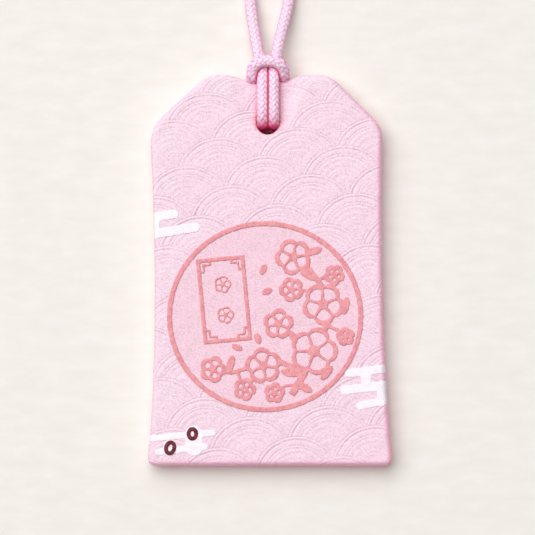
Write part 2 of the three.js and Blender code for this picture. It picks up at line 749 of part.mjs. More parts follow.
function spray() {
  const solids = [];
  branchShares.forEach((shares, index) => {
    const points = new THREE.SplineCurve(shares.map(inRing)).getPoints(2 * (shares.length - 1));
    solids.push(ribbon(points, lineWidth * branchWidthShares[index]));
  });
  leafShares.forEach((shares) => {
    solids.push(smallOval(shares, leafLengthShare, leafWidthShare));
  });
  let figure = union(solids);
  blossomShares.forEach(([shareX, shareY, size], index) => {
    const centre = inRing([shareX, shareY]);
    const radius = size * ringHalfWidth;
    figure = figure.subtract(plate(petalOutline(centre, radius - lineWidth / 2, index), frontLevel - overrun,
      frontLevel + overrun));
    figure = figure.add(blossom(centre, radius, index, lineWidth));
  });
  const petals = petalShares.map((shares, index) => {
    const petal = smallOval(shares, petalLengthShare, petalWidthShare);
    return part(`loose_petal_${index + 1}`, petal, finishes.coral());
  });
  return [part('blossom_spray', figure, finishes.coral()), ...petals];
}

// Mist bands: stacked bars with round ends, joined by short uprights, reaching to the flat face's edge.
// Places are shares of half the waist width from the middle and of the pouch height from the base.
const mistBarWidth = 1.6;
const mistRowShares = {
  mist_band_left: [
    [[-0.893, 0.641], [-0.841, 0.645]], [[-0.893, 0.596], [-0.655, 0.611]], [[-0.893, 0.641], [-0.893, 0.596]],
  ],
  mist_band_right: [
    [[0.728, 0.238], [0.882, 0.249]], [[0.658, 0.194], [0.882, 0.208]], [[0.803, 0.153], [0.89, 0.163]],
    [[0.854, 0.244], [0.854, 0.16]],
  ],
  mist_band_base: [
    [[-0.92, 0.067], [-0.52, 0.084]], [[-0.92, 0.041], [-0.59, 0.049]],
    [[-0.706, 0.076], [-0.706, 0.045]],
  ],
};

function onFace([shareX, shareHeight]) {
  return new THREE.Vector2(shareX * waistWidth / 2, shareHeight * pouchHeight);
}

function mistBands() {
  return Object.entries(mistRowShares).map(([name, rows]) => {
    const bars = rows.map(([from, to]) => bar(onFace(from), onFace(to), mistBarWidth, mistHeight));
    return part(name, union(bars), finishes.mist());
  });
}

// Two small dark oval rings, stitched over the lower mist band
const ovalPlaceShares = { oval_ring_left: [-0.879, 0.05], oval_ring_right: [-0.684, 0.083] };
const ovalSizeShares = { oval_ring_left: [0.8, 1], oval_ring_right: [0.76, 0.9] };
const ovalTurns = { oval_ring_left: -0.26, oval_ring_right: 0 };
const ovalHalfHeight = 1.43;
const ovalLine = 0.7;

function ovalRings() {
  const low = frontLevel + mistHeight + layGap;
  return Object.entries(ovalPlaceShares).map(([name, shares]) => {
    const centre = onFace(shares);
    const [halfX, halfY] = ovalSizeShares[name].map((share) => share * ovalHalfHeight);
    const outer = ellipse(centre.x, centre.y, halfX, halfY, ovalTurns[name]);
    const inner = ellipse(centre.x, centre.y, halfX - ovalLine, halfY - ovalLine, ovalTurns[name]);
    outer.holes.push(inner);
    return part(name, plate(outer, low, low + figureHeight, 12), finishes.oval());
  });
}

// Assembly: everything that the pouch holds, centred on its own box, and the free cord with it
const held = new THREE.Group();
held.add(...panels(), ...paperCore(), ...seamThreads(), medallionRing(), ...cartouche(), ...spray(),
  ...mistBands(), ...ovalRings(), cordHitch());

const free = new THREE.Group();
free.add(...freeStrands(), cordKnot());

const charm = new THREE.Group();
charm.add(held, free);
const middle = new THREE.Box3().setFromObject(held).getCenter(new THREE.Vector3());
charm.position.set(-middle.x, -middle.y, 0);
charm.updateMatrixWorld(true);

export default charm;
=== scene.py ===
"""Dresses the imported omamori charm: brocade pouch, woven figures, paper core and hitched braided cord.

Sizes in the classes are millimetres. A place on the charm is (x, height, level): x from the middle, height
from the pouch's base, level above the surface that it lies on. Meshes are made in metres, in the CAD part's
frame.
"""

import logging
import math
from collections.abc import Callable, Iterable, Sequence
from dataclasses import dataclass, field
from enum import Enum
from functools import partial

import bmesh
import bpy
import numpy as np
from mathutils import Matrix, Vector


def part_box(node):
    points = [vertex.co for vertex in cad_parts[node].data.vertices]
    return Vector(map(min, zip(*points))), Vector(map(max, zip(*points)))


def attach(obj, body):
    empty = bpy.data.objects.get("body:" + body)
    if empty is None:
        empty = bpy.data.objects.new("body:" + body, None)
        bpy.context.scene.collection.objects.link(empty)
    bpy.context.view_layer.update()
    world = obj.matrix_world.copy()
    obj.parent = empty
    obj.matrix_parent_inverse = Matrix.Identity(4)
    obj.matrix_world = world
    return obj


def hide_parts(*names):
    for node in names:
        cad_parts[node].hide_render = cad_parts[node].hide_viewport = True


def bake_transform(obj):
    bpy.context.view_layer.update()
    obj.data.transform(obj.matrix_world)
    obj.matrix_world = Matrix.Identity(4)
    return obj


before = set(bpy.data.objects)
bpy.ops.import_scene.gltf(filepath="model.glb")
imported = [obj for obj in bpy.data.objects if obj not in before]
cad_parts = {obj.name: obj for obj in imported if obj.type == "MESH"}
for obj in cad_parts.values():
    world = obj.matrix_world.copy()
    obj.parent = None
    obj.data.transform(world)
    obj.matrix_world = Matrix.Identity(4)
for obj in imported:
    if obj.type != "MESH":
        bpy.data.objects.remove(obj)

MM = 0.001
# Radians that the wave texture turns in one unit at scale 1
WAVE_RATE = 20
# Rows of a table of distances that are worked out at a time
ROWS = 6000
# Points between two places of a curve, before it is divided evenly
CURVE_POINTS = 24
FRONT_STEP, QUICK_STEP, BACK_STEP = 0.22, 0.6, 0.5
log = logging.getLogger("charm")

Points = np.ndarray
Pair = tuple[float, float]
Place = tuple[float, float, float]
Piece = bpy.types.Object
Socket = bpy.types.NodeSocket
Value = Socket | float
# Points of a ring and their angles
Ring = tuple[list[int], Points]
# Two directions across a route, at each of its points
Frames = tuple[Points, Points]
# Two limits of a value and what they turn into
Span = tuple[float, float, float, float]
# Scale, detail and roughness of a noise
Noise = tuple[float, float, float]

ORIGIN: Place = (0.0, 0.0, 0.0)
UP: Place = (0.0, 0.0, 1.0)


# Frame, meshes and small modelling helpers


def base_height() -> float:
    """The pouch's base along Y in the frame, in millimetres."""
    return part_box("back_panel")[0].y / MM


BASE = base_height()


def to_frame(points: Points) -> Points:
    """Turns places on the charm into points of the frame, in metres."""
    moved = np.array(points, float)
    moved[:, 1] += BASE
    return moved * MM


def point_in_frame(x: float, height: float, level: float) -> tuple[float, ...]:
    """One place on the charm as a point of the frame, in metres."""
    return tuple(to_frame(np.array([[x, height, level]]))[0])


def on_charm(piece: Piece) -> Points:
    """A mesh's vertices as places on the charm."""
    points = points_of(piece) / MM
    points[:, 1] -= BASE
    return points


def smoothstep(low: float, high: float, value: Points) -> Points:
    """A smooth rise from 0 at low to 1 at high."""
    share = np.clip((value - low) / (high - low), 0, 1)
    return share * share * (3 - 2 * share)


def fades(rows: Iterable[Place], value: Points) -> Points:
    """The sum of strengths that fade from full to nothing, each between its two limits."""
    return sum(strength * (1 - smoothstep(low, high, value)) for strength, low, high in rows)


def unit(vectors: Points) -> Points:
    """Vectors at length 1."""
    return vectors / np.linalg.norm(vectors, axis=1)[:, None]


def turned(x: Points, y: Points, angle: float) -> tuple[Points, Points]:
    """Turns places about the origin."""
    cos, sin = math.cos(angle), math.sin(angle)
    return x * cos - y * sin, x * sin + y * cos


def read(items: bpy.types.bpy_prop_collection, name: str, width: int = 1, kind: type = float) -> Points:
    """One property of all items, with a row per item where it has several numbers."""
    found = np.empty(len(items) * width, kind)
    items.foreach_get(name, found)
    return found.reshape(-1, width) if width > 1 else found


def points_of(piece: Piece) -> Points:
    """The mesh's vertices as an array, in its own units."""
    return read(piece.data.vertices, "co", 3)


def set_points(piece: Piece, points: Points) -> None:
    """Moves the mesh's vertices."""
    piece.data.vertices.foreach_set("co", np.asarray(points, np.float32).ravel())
    piece.data.update()


def set_attribute(piece: Piece, name: str, values: Points) -> None:
    """Writes one number per vertex for a material to read."""
    layer = piece.data.attributes.get(name) or piece.data.attributes.new(name, "FLOAT", "POINT")
    layer.data.foreach_set("value", np.asarray(values, np.float32))


def activate(piece: Piece) -> None:
    """Makes a piece the only selected and the active object."""
    bpy.ops.object.select_all(action="DESELECT")
    piece.select_set(True)
    bpy.context.view_layer.objects.active = piece


def link(name: str, data: bpy.types.ID) -> Piece:
    """Puts an object into the scene."""
    made = bpy.data.objects.new(name, data)
    bpy.context.scene.collection.objects.link(made)
    return made


def mesh_piece(name: str, points: Points, faces: Sequence[Sequence[int]]) -> Piece:
    """Makes an object of points in millimetres on the charm and their faces."""
    mesh = bpy.data.meshes.new(name)
    mesh.from_pydata(to_frame(points).tolist(), [], faces)
    return link(name, mesh)


def primitive(operator: Callable[..., set], name: str, **settings: object) -> Piece:
    """Adds one of the basic meshes and names it."""
    bpy.ops.object.select_all(action="DESELECT")
    operator(**settings)
    piece = bpy.context.active_object
    piece.name = name
    return piece


def edit(piece: Piece, *steps: Callable[[], set]) -> None:
    """Runs operators on a piece in edit mode."""
    activate(piece)
    bpy.ops.object.mode_set(mode="EDIT")
    for step in steps:
        step()
    bpy.ops.object.mode_set(mode="OBJECT")


def chosen(action: str) -> Callable[[], set]:
    """Selects or deselects the whole mesh, as a step for edit."""
    return partial(bpy.ops.mesh.select_all, action=action)


def modify(piece: Piece, kind: str, **settings: object) -> None:
    """Adds a modifier with its settings and applies it."""
    activate(piece)
    modifier = piece.modifiers.new(kind.title(), kind)
    for name, value in settings.items():
        setattr(modifier, name, value)
    bpy.ops.object.modifier_apply(modifier=modifier.name)


def join(name: str, pieces: Sequence[Piece]) -> Piece:
    """Joins pieces into the first one and names it."""
    activate(pieces[0])
    for piece in pieces:
        piece.select_set(True)
    bpy.ops.object.join()
    pieces[0].name = name
    return pieces[0]


def smooth(piece: Piece, degrees: float = 180.0) -> None:
    """Shades a piece smooth up to an angle."""
    activate(piece)
    bpy.ops.object.shade_smooth_by_angle(angle=math.radians(degrees))


def outward(piece: Piece) -> None:
    """Turns all faces outwards."""
    edit(piece, chosen("SELECT"), partial(bpy.ops.mesh.normals_make_consistent, inside=False))


def punch(piece: Piece, centre: Points, radius: float) -> None:
    """Takes out the faces of a sheet whose middles lie near a centre, both in the mesh's own units."""
    near = np.linalg.norm(read(piece.data.polygons, "center", 3)[:, :2] - centre, axis=1) < radius
    edit(piece, chosen("DESELECT"))
    piece.data.polygons.foreach_set("select", near)
    edit(piece, partial(bpy.ops.mesh.select_mode, type="FACE"), partial(bpy.ops.mesh.delete, type="FACE"))


def dress(piece: Piece, *materials: bpy.types.Material) -> None:
    """Puts materials on a piece, in slot order."""
    piece.data.materials.clear()
    for material in materials:
        piece.data.materials.append(material)


def hand_over(piece: Piece, node: str, slot: str, body: str = "pouch") -> Piece:
    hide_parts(node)
    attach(piece, body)
    return piece


# Colours and nodes


def linear(colour: str) -> tuple[float, float, float, float]:
    """Turns an sRGB hex colour into linear red, green, blue and a full alpha."""
    parts = [int(colour[index : index + 2], 16) / 255 for index in (1, 3, 5)]
    return *(part / 12.92 if part <= 0.04045 else ((part + 0.055) / 1.055) ** 2.4 for part in parts), 1.0


class Nodes:
    """A node tree under construction. Each method adds one thing to it and gives back its output."""

    def __init__(self, tree: bpy.types.NodeTree) -> None:
        tree.nodes.clear()
        self.tree = tree

    def add(
        self, kind: str, inputs: dict | None = None, out: int | str = 0, **settings: object
    ) -> Socket | None:
        """Adds a node with its settings and links.

        Args:
            kind: The node's type, without its leading ShaderNode.
            inputs: Numbers, sockets or sRGB hex colours by input name or number.
            out: The output to give back, by name or number.
            **settings: The node's own properties.

        Returns:
            The chosen output socket, or None for an output node.
        """
        made = self.tree.nodes.new("ShaderNode" + kind)
        for name, value in settings.items():
            setattr(made, name, value)
        for key, value in (inputs or {}).items():
            if isinstance(value, Socket):
                self.tree.links.new(value, made.inputs[key])
            else:
                made.inputs[key].default_value = linear(value) if isinstance(value, str) else value
        return made.outputs[out] if len(made.outputs) else None

    def place(self, scale: Place = (1 / MM,) * 3, **inputs: Place) -> Socket:
        """Object coordinates, scaled, which are millimetres unless told otherwise."""
        coords = self.add("TexCoord", out="Object")
        return self.add("Mapping", {"Vector": coords, "Scale": scale, **inputs})

    def maths(self, operation: str, first: Value, second: Value = 0.0) -> Socket:
        """A sum of two numbers."""
        return self.add("Math", {0: first, 1: second}, operation=operation)

    def vector(self, operation: str, first: Socket, second: Place = ORIGIN, out: int | str = 0) -> Socket:
        """A sum of two vectors."""
        return self.add("VectorMath", {0: first, 1: second}, out, operation=operation)

    def split(self, place: Socket) -> tuple[Socket, Socket]:
        """First and second coordinate of a vector."""
        outputs = self.add("SeparateXYZ", {0: place}).node.outputs
        return outputs[0], outputs[1]

    def span(self, value: Socket, limits: Span) -> Socket:
        """A value carried from two limits to two others."""
        return self.add("MapRange", dict(enumerate((value, *limits))))

    def mix(self, share: Value, first: Value, second: Value) -> Socket:
        """A number between two."""
        return self.add("Mix", {0: share, 2: first, 3: second}, data_type="FLOAT")

    def blend(self, share: Value, first: Socket | str, second: Socket | str, kind: str = "MIX") -> Socket:
        """A colour between two, or their product."""
        return self.add("Mix", {0: share, 6: first, 7: second}, 2, data_type="RGBA", blend_type=kind)

    def toned(self, colour: Socket, tone: Socket) -> Socket:
        """A colour times a brightness."""
        return self.blend(1.0, colour, self.add("CombineColor", {0: tone, 1: tone, 2: tone}), "MULTIPLY")

    def ramp(self, value: Socket, stops: Iterable[tuple[float, str | float]]) -> Socket:
        """Colours or grey levels along a value."""
        made = self.add("ValToRGB", {0: value})
        elements = made.node.color_ramp.elements
        elements.remove(elements[1])
        for index, (position, tone) in enumerate(stops):
            stop = elements.new(position) if index else elements[0]
            stop.position = position
            stop.color = linear(tone) if isinstance(tone, str) else (tone, tone, tone, 1.0)
        return made

    def noise(self, place: Socket, settings: Noise) -> Socket:
        """Cloudy noise."""
        scale, detail, roughness = settings
        inputs = {"Vector": place, "Scale": scale, "Detail": detail, "Roughness": roughness}
        return self.add("TexNoise", inputs, "Fac")

    def cells(self, place: Socket, scale: float, randomness: float) -> Socket:
        """Distance from the middles of scattered cells."""
        return self.add("TexVoronoi", {"Vector": place, "Scale": scale, "Randomness": randomness}, "Distance")

    def threads(self, place: Socket, spacing: float, wander: Noise, **settings: str) -> Socket:
        """Parallel threads at a spacing, which wander by a distortion, its detail and the detail's scale."""
        distortion, detail, detail_scale = wander
        inputs = {"Distortion": distortion, "Detail": detail, "Detail Scale": detail_scale}
        scale = math.tau / spacing / WAVE_RATE
        return self.add("TexWave", {"Vector": place, "Scale": scale, **inputs}, "Fac", **settings)

    def attribute(self, name: str) -> Socket:
        """A number that the mesh carries at each vertex."""
        return self.add("Attribute", out="Fac", attribute_name=name)

    def bump(self, height: Socket, depth_and_strength: Pair, **inputs: Socket) -> Socket:
        """A normal that follows a height over a depth."""
        depth, strength = depth_and_strength
        return self.add("Bump", {"Height": height, "Distance": depth * MM, "Strength": strength, **inputs})


# The pouch's form


@dataclass(frozen=True)
class PouchForm:
    """Outline and faces of the pouch as functions of place, shared by all that lies on it."""

    height: float = 75.0
    base_width: float = 46.8
    waist_inset: float = 1.75
    shoulder_inset: float = 1.25
    shoulder_run: float = 10.5
    shoulder_drop: float = 10.0
    shoulder_lean: float = 0.7
    flare_widths: Pair = (0.0, 1.47)
    flare_heights: Pair = (0.03, 0.33)
    top_lean: float = 0.2
    base_cut: float = 1.6
    shoulder_cuts: Pair = (3.4, 2.4)
    right_swell: float = 0.14
    top_cut: float = 2.2
    face_level: float = 4.97
    seam_level: float = 2.5
    web_seam_level: float = 3.3
    roll_reach: float = 1.15
    roll_power: float = 2.5
    hole_x: float = -0.4
    hole_height: float = 65.65
    hole_radius: float = 2.28
    mouth_dip: float = 1.45
    # Where the dip starts and ends beside the hole, on its left and on its right
    dip_starts: Pair = (2.3, 1.8)
    dip_ends: Pair = (8.4, 7.6)
    dip_run: float = 10.0
    leg_dent: float = 0.2
    leg_dent_x: float = 3.0
    leg_dent_spread: float = 2.6
    dent_depth: float = 0.44
    channel_depth: float = 2.3
    channel_half_low: float = 2.35
    channel_half_high: float = 4.5
    channel_top: float = 3.6
    channel_start: Pair = (-1.2, 0.6)
    channel_ease: float = 0.2
    back_ease: float = 0.8
    seam_ease: float = 1.6
    dent_ease: float = 2.8
    front_slack: float = 0.08
    back_slack: float = 0.03
    pucker_depth: float = 0.07
    pucker_place: float = 1.3
    pucker_spread: float = 1.1
    cloth: float = 0.55
    # Points along base corner, side, shoulder, top corner and mouth
    counts: tuple[int, ...] = (8, 40, 10, 10, 60)
    edge_zone: float = 10.0

    def side(self, sign: int) -> Points:
        """One side of the outline from the base's middle to the mouth, as (x, height) points."""
        cut = self.shoulder_cuts[sign > 0]
        swell = np.array([self.right_swell * (sign > 0), 0.0])
        base = np.array([sign * self.base_width / 2, 0.0]) + 0.5 * swell
        waist = self.base_width - 2 * self.waist_inset
        shoulder_x = sign * (self.base_width / 2 - self.shoulder_inset) - self.shoulder_lean
        shoulder = np.array([shoulder_x, self.height - self.shoulder_drop]) + swell
        top_half = self.base_width / 2 - self.shoulder_inset - self.shoulder_run
        top = np.array([sign * top_half - self.top_lean, self.height])
        along = (top - shoulder) / np.linalg.norm(top - shoulder)
        widths = [self.base_width + share * (waist - self.base_width) for share in self.flare_widths]
        flare = [
            np.array([sign * width / 2, share * shoulder[1]]) + swell
            for width, share in zip(widths, self.flare_heights)
        ]
        up = np.array([0.0, 1.0])
        inward = np.array([-sign, 0.0])
        pieces = [
            [base + inward * self.base_cut, base, base + up * self.base_cut],
            [base + up * self.base_cut, *flare, shoulder - up * cut],
            [shoulder - up * cut, shoulder, shoulder + along * cut],
            [top - along * self.top_cut, top, top + inward * self.top_cut],
        ]
        return np.vstack([bezier(controls, count) for controls, count in zip(pieces, self.counts)])

    def dip(self, x: Points) -> Points:
        """How far the mouth sinks between the cord's legs, less far out on the right."""
        away = x - self.hole_x
        start, end = (np.where(away < 0, *pair) for pair in (self.dip_starts, self.dip_ends))
        dent = self.leg_dent * np.exp(-((away + self.leg_dent_x) ** 4) / self.leg_dent_spread)
        return self.mouth_dip * (1 - smoothstep(start, end, np.abs(away))) + dent

    def sink(self, x: Points, height: Points) -> Points:
        """Heights after the mouth has sunk."""
        return height - self.dip(x) * smoothstep(self.height - self.dip_run, self.height, height)

    def edges(self, height: Points) -> tuple[Points, Points]:
        """Left and right x of the outline at heights."""
        left, right = self.side(-1), self.side(1)
        return np.interp(height, left[:, 1], left[:, 0]), np.interp(height, right[:, 1], right[:, 0])

    def outline(self) -> Points:
        """The closed outline as (x, height) points, with the sunken mouth."""
        right, left = self.side(1), self.side(-1)
        across = np.linspace(right[-1, 0], left[-1, 0], self.counts[-1])
        mouth = np.stack([across, np.full(len(across), self.height)], 1)
        whole = np.vstack([right, mouth, left[::-1]])
        whole[:, 1] = self.sink(whole[:, 0], whole[:, 1])
        return whole

    def inside(self, x: Points, height: Points) -> Points:
        """Distance inwards from the outline, exact near it and cut off at twice the rolled edge."""
        reach = 2 * self.roll_reach
        found = np.full(x.shape, reach)
        near = (np.abs(x) > self.edge_zone) | (height < reach) | (height > self.height - self.shoulder_drop)
        spots = np.stack([x[near], height[near]], 1)
        if not len(spots):
            return found
        start = self.outline()
        span = np.roll(start, -1, axis=0) - start
        length = np.maximum((span**2).sum(1), 1e-9)
        nearest = np.empty(len(spots))
        for low in range(0, len(spots), ROWS):
            part = spots[low : low + ROWS, None, :] - start[None]
            share = np.clip((part * span).sum(2) / length, 0, 1)
            nearest[low : low + ROWS] = np.linalg.norm(part - share[..., None] * span, axis=2).min(1)
        found[near] = np.minimum(nearest, reach)
        return found

    def roll(self, distance: Points) -> Points:
        """How far up its rolled edge the cloth is: 0 at the seam, 1 on the flat face."""
        share = np.clip(distance / self.roll_reach, 0, 1)
        return (1 - (1 - share) ** self.roll_power) ** (1 / self.roll_power)

    def lane(self, x: Points, height: Points, ease: float) -> Points:
        """1 where the cord's channel runs, 0 away from it, with eased sides."""
        ends = [self.hole_height, self.height - self.channel_top]
        half = np.interp(height, ends, [self.channel_half_low, self.channel_half_high])
        across = 1 - smoothstep(-self.channel_ease, ease, np.abs(x - self.hole_x) - half)
        start, end = self.channel_start
        return across * smoothstep(self.hole_height + start, self.hole_height + end, height)

    def ripple(self, x: Points, height: Points) -> Points:
        """Small unevenness of the face: two soft waves whose rates don't fit into each other."""
        face = 0.05 * np.sin(0.31 * x + 0.8) * np.sin(0.23 * height + 0.4)
        return face + 0.03 * np.sin(0.77 * x - 0.41 * height) * np.sin(0.19 * x + 0.53 * height + 1.1)

    def pucker(self, x: Points, height: Points, distance: Points) -> Points:
        """Puckers that the seam draws into the rolled edge."""
        run = np.sin(1.35 * height + 0.6 * np.sin(0.37 * height)) * np.sin(1.22 * x + 0.9 * np.sin(0.33 * x))
        return self.pucker_depth * run * np.exp(-((distance - self.pucker_place) ** 2) / self.pucker_spread)

    def seam(self, x: Points, height: Points) -> Points:
        """Level of the seam, which steps up where the channel lifts the back."""
        rise = self.web_seam_level - self.seam_level
        return self.seam_level + rise * self.lane(x, height, self.seam_ease)

    def front(self, x: Points, height: Points, distance: Points | None = None) -> Points:
        """Level of the front cloth."""
        depth = self.inside(x, height) if distance is None else distance
        dent = self.dent_depth * self.lane(x, height, self.dent_ease)
        face = self.face_level - dent - self.front_slack + self.ripple(x, height)
        seam = self.seam(x, height)
        return seam + (face - seam) * self.roll(depth) + self.pucker(x, height, depth)

    def back(self, x: Points, height: Points, distance: Points | None = None) -> Points:
        """Level of the back cloth."""
        depth = self.inside(x, height) if distance is None else distance
        face = self.channel_depth * self.lane(x, height, self.back_ease) + self.back_slack
        seam = self.seam(x, height)
        return seam - (seam - face) * self.roll(depth)


def bezier(controls: Sequence[Points], count: int) -> Points:
    """Points along a quadratic or cubic curve."""
    degree = len(controls) - 1
    share = np.linspace(0, 1, count)[:, None]
    terms = [
        math.comb(degree, index) * (1 - share) ** (degree - index) * share**index * control
        for index, control in enumerate(controls)
    ]
    return sum(terms)


FORM = PouchForm()


@dataclass(frozen=True)
class WaveScales:
    """Ground of overlapping wave scales: rows of arcs, each row in front of the one above it.

    The rows rise to the right by the tilt, and each starts a little further left than the one below it. The
    arcs are a trifle flatter than circles, and near the mouth the cloth is drawn together. The profile runs
    from a scale's centre to its rim: 0 groove, 0.5 ground, 1 line.
    """

    pitch: float = 15.14
    row: float = 4.94
    shift: float = -0.53
    radius: float = 8.36
    flatness: float = 1.03
    tilt: float = math.radians(8.1)
    centre_x: float = -0.74
    centre_height: float = 51.72
    gather: float = 0.0038
    gather_start: float = 50.0
    # Painted relief shading: the lines' colour contrast is strongest on this side of each scale, the side that
    # faces the light
    lit_side: Place = (-0.85, 0.53, 0.0)
    profile: tuple[Pair, ...] = (
        (1.15, 0.46), (1.42, 0.8), (1.7, 0.5), (2.44, 0.4), (2.68, 0.68), (2.95, 0.42), (3.36, 0.8),
        (3.62, 0.5), (3.98, 0.38), (4.45, 0.72), (4.8, 0.55), (5.08, 0.34), (5.55, 0.8), (5.8, 0.5),
        (6.02, 0.3), (6.24, 0.86), (6.5, 0.2), (6.75, 0.56), (6.93, 0.78), (7.06, 0.55), (7.24, 1.0),
        (7.44, 0.42), (7.66, 0.05), (7.8, 0.5), (7.97, 1.0), (8.14, 0.5), (8.28, 0.16),
    )
    candidates: int = 3

    def distance(self, x: Points, height: Points) -> Points:
        """Distance from the centre of the scale that shows at each place."""
        cos, sin = math.cos(self.tilt), math.sin(self.tilt)
        drawn = height + self.gather * np.maximum(height - self.gather_start, 0) ** 2
        right, up = x - self.centre_x, drawn - self.centre_height
        a, b = right * cos + up * sin, (up * cos - right * sin) * self.flatness
        row = self.row * self.flatness
        lowest = np.ceil((b - self.radius) / row)
        found = np.full(a.shape, self.radius)
        for step in reversed(range(self.candidates)):
            number = lowest + step
            shifted = (a - number * self.shift) / self.pitch + 0.5 * np.mod(number, 2)
            across = (np.mod(shifted + 0.5, 1) - 0.5) * self.pitch
            reach = np.hypot(across, b - number * row)
            found = np.where(reach < self.radius, reach, found)
        return found

    def relief(self, distance: Points) -> Points:
        """Height of the woven relief, from -0.5 in a groove to 0.5 on a line."""
        radii, levels = zip(*self.profile)
        return np.interp(distance, radii, levels) - 0.5


@dataclass(frozen=True)
class Medallion:
    """The ring on the front face and the plain ground in it."""

    x: float = -0.9
    height: float = 28.65
    half_width: float = 18.8
    half_height: float = 18.3
    line: float = 0.95

    def share(self, x: Points, height: Points) -> Points:
        """0 in the middle, 1 on the ring's inner edge."""
        wide, tall = self.half_width - self.line / 2, self.half_height - self.line / 2
        return np.hypot((x - self.x) / wide, (height - self.height) / tall)


SCALES = WaveScales()
MEDALLION = Medallion()


# Finishes


@dataclass(frozen=True)
class Finish:
    """A material: its name, and a principled shader with the inputs that each kind of finish gives."""

    name: str

    def build(self) -> bpy.types.Material:
        """Makes the material."""
        material = bpy.data.materials.new(self.name)
        material.use_nodes = True
        nodes = Nodes(material.node_tree)
        nodes.add("OutputMaterial", {"Surface": nodes.add("BsdfPrincipled", self.shader(nodes))})
        return material

    def shader(self, nodes: Nodes) -> dict[str, Value | str]:
        """Adds the finish's nodes and gives the shader's inputs."""
        raise NotImplementedError


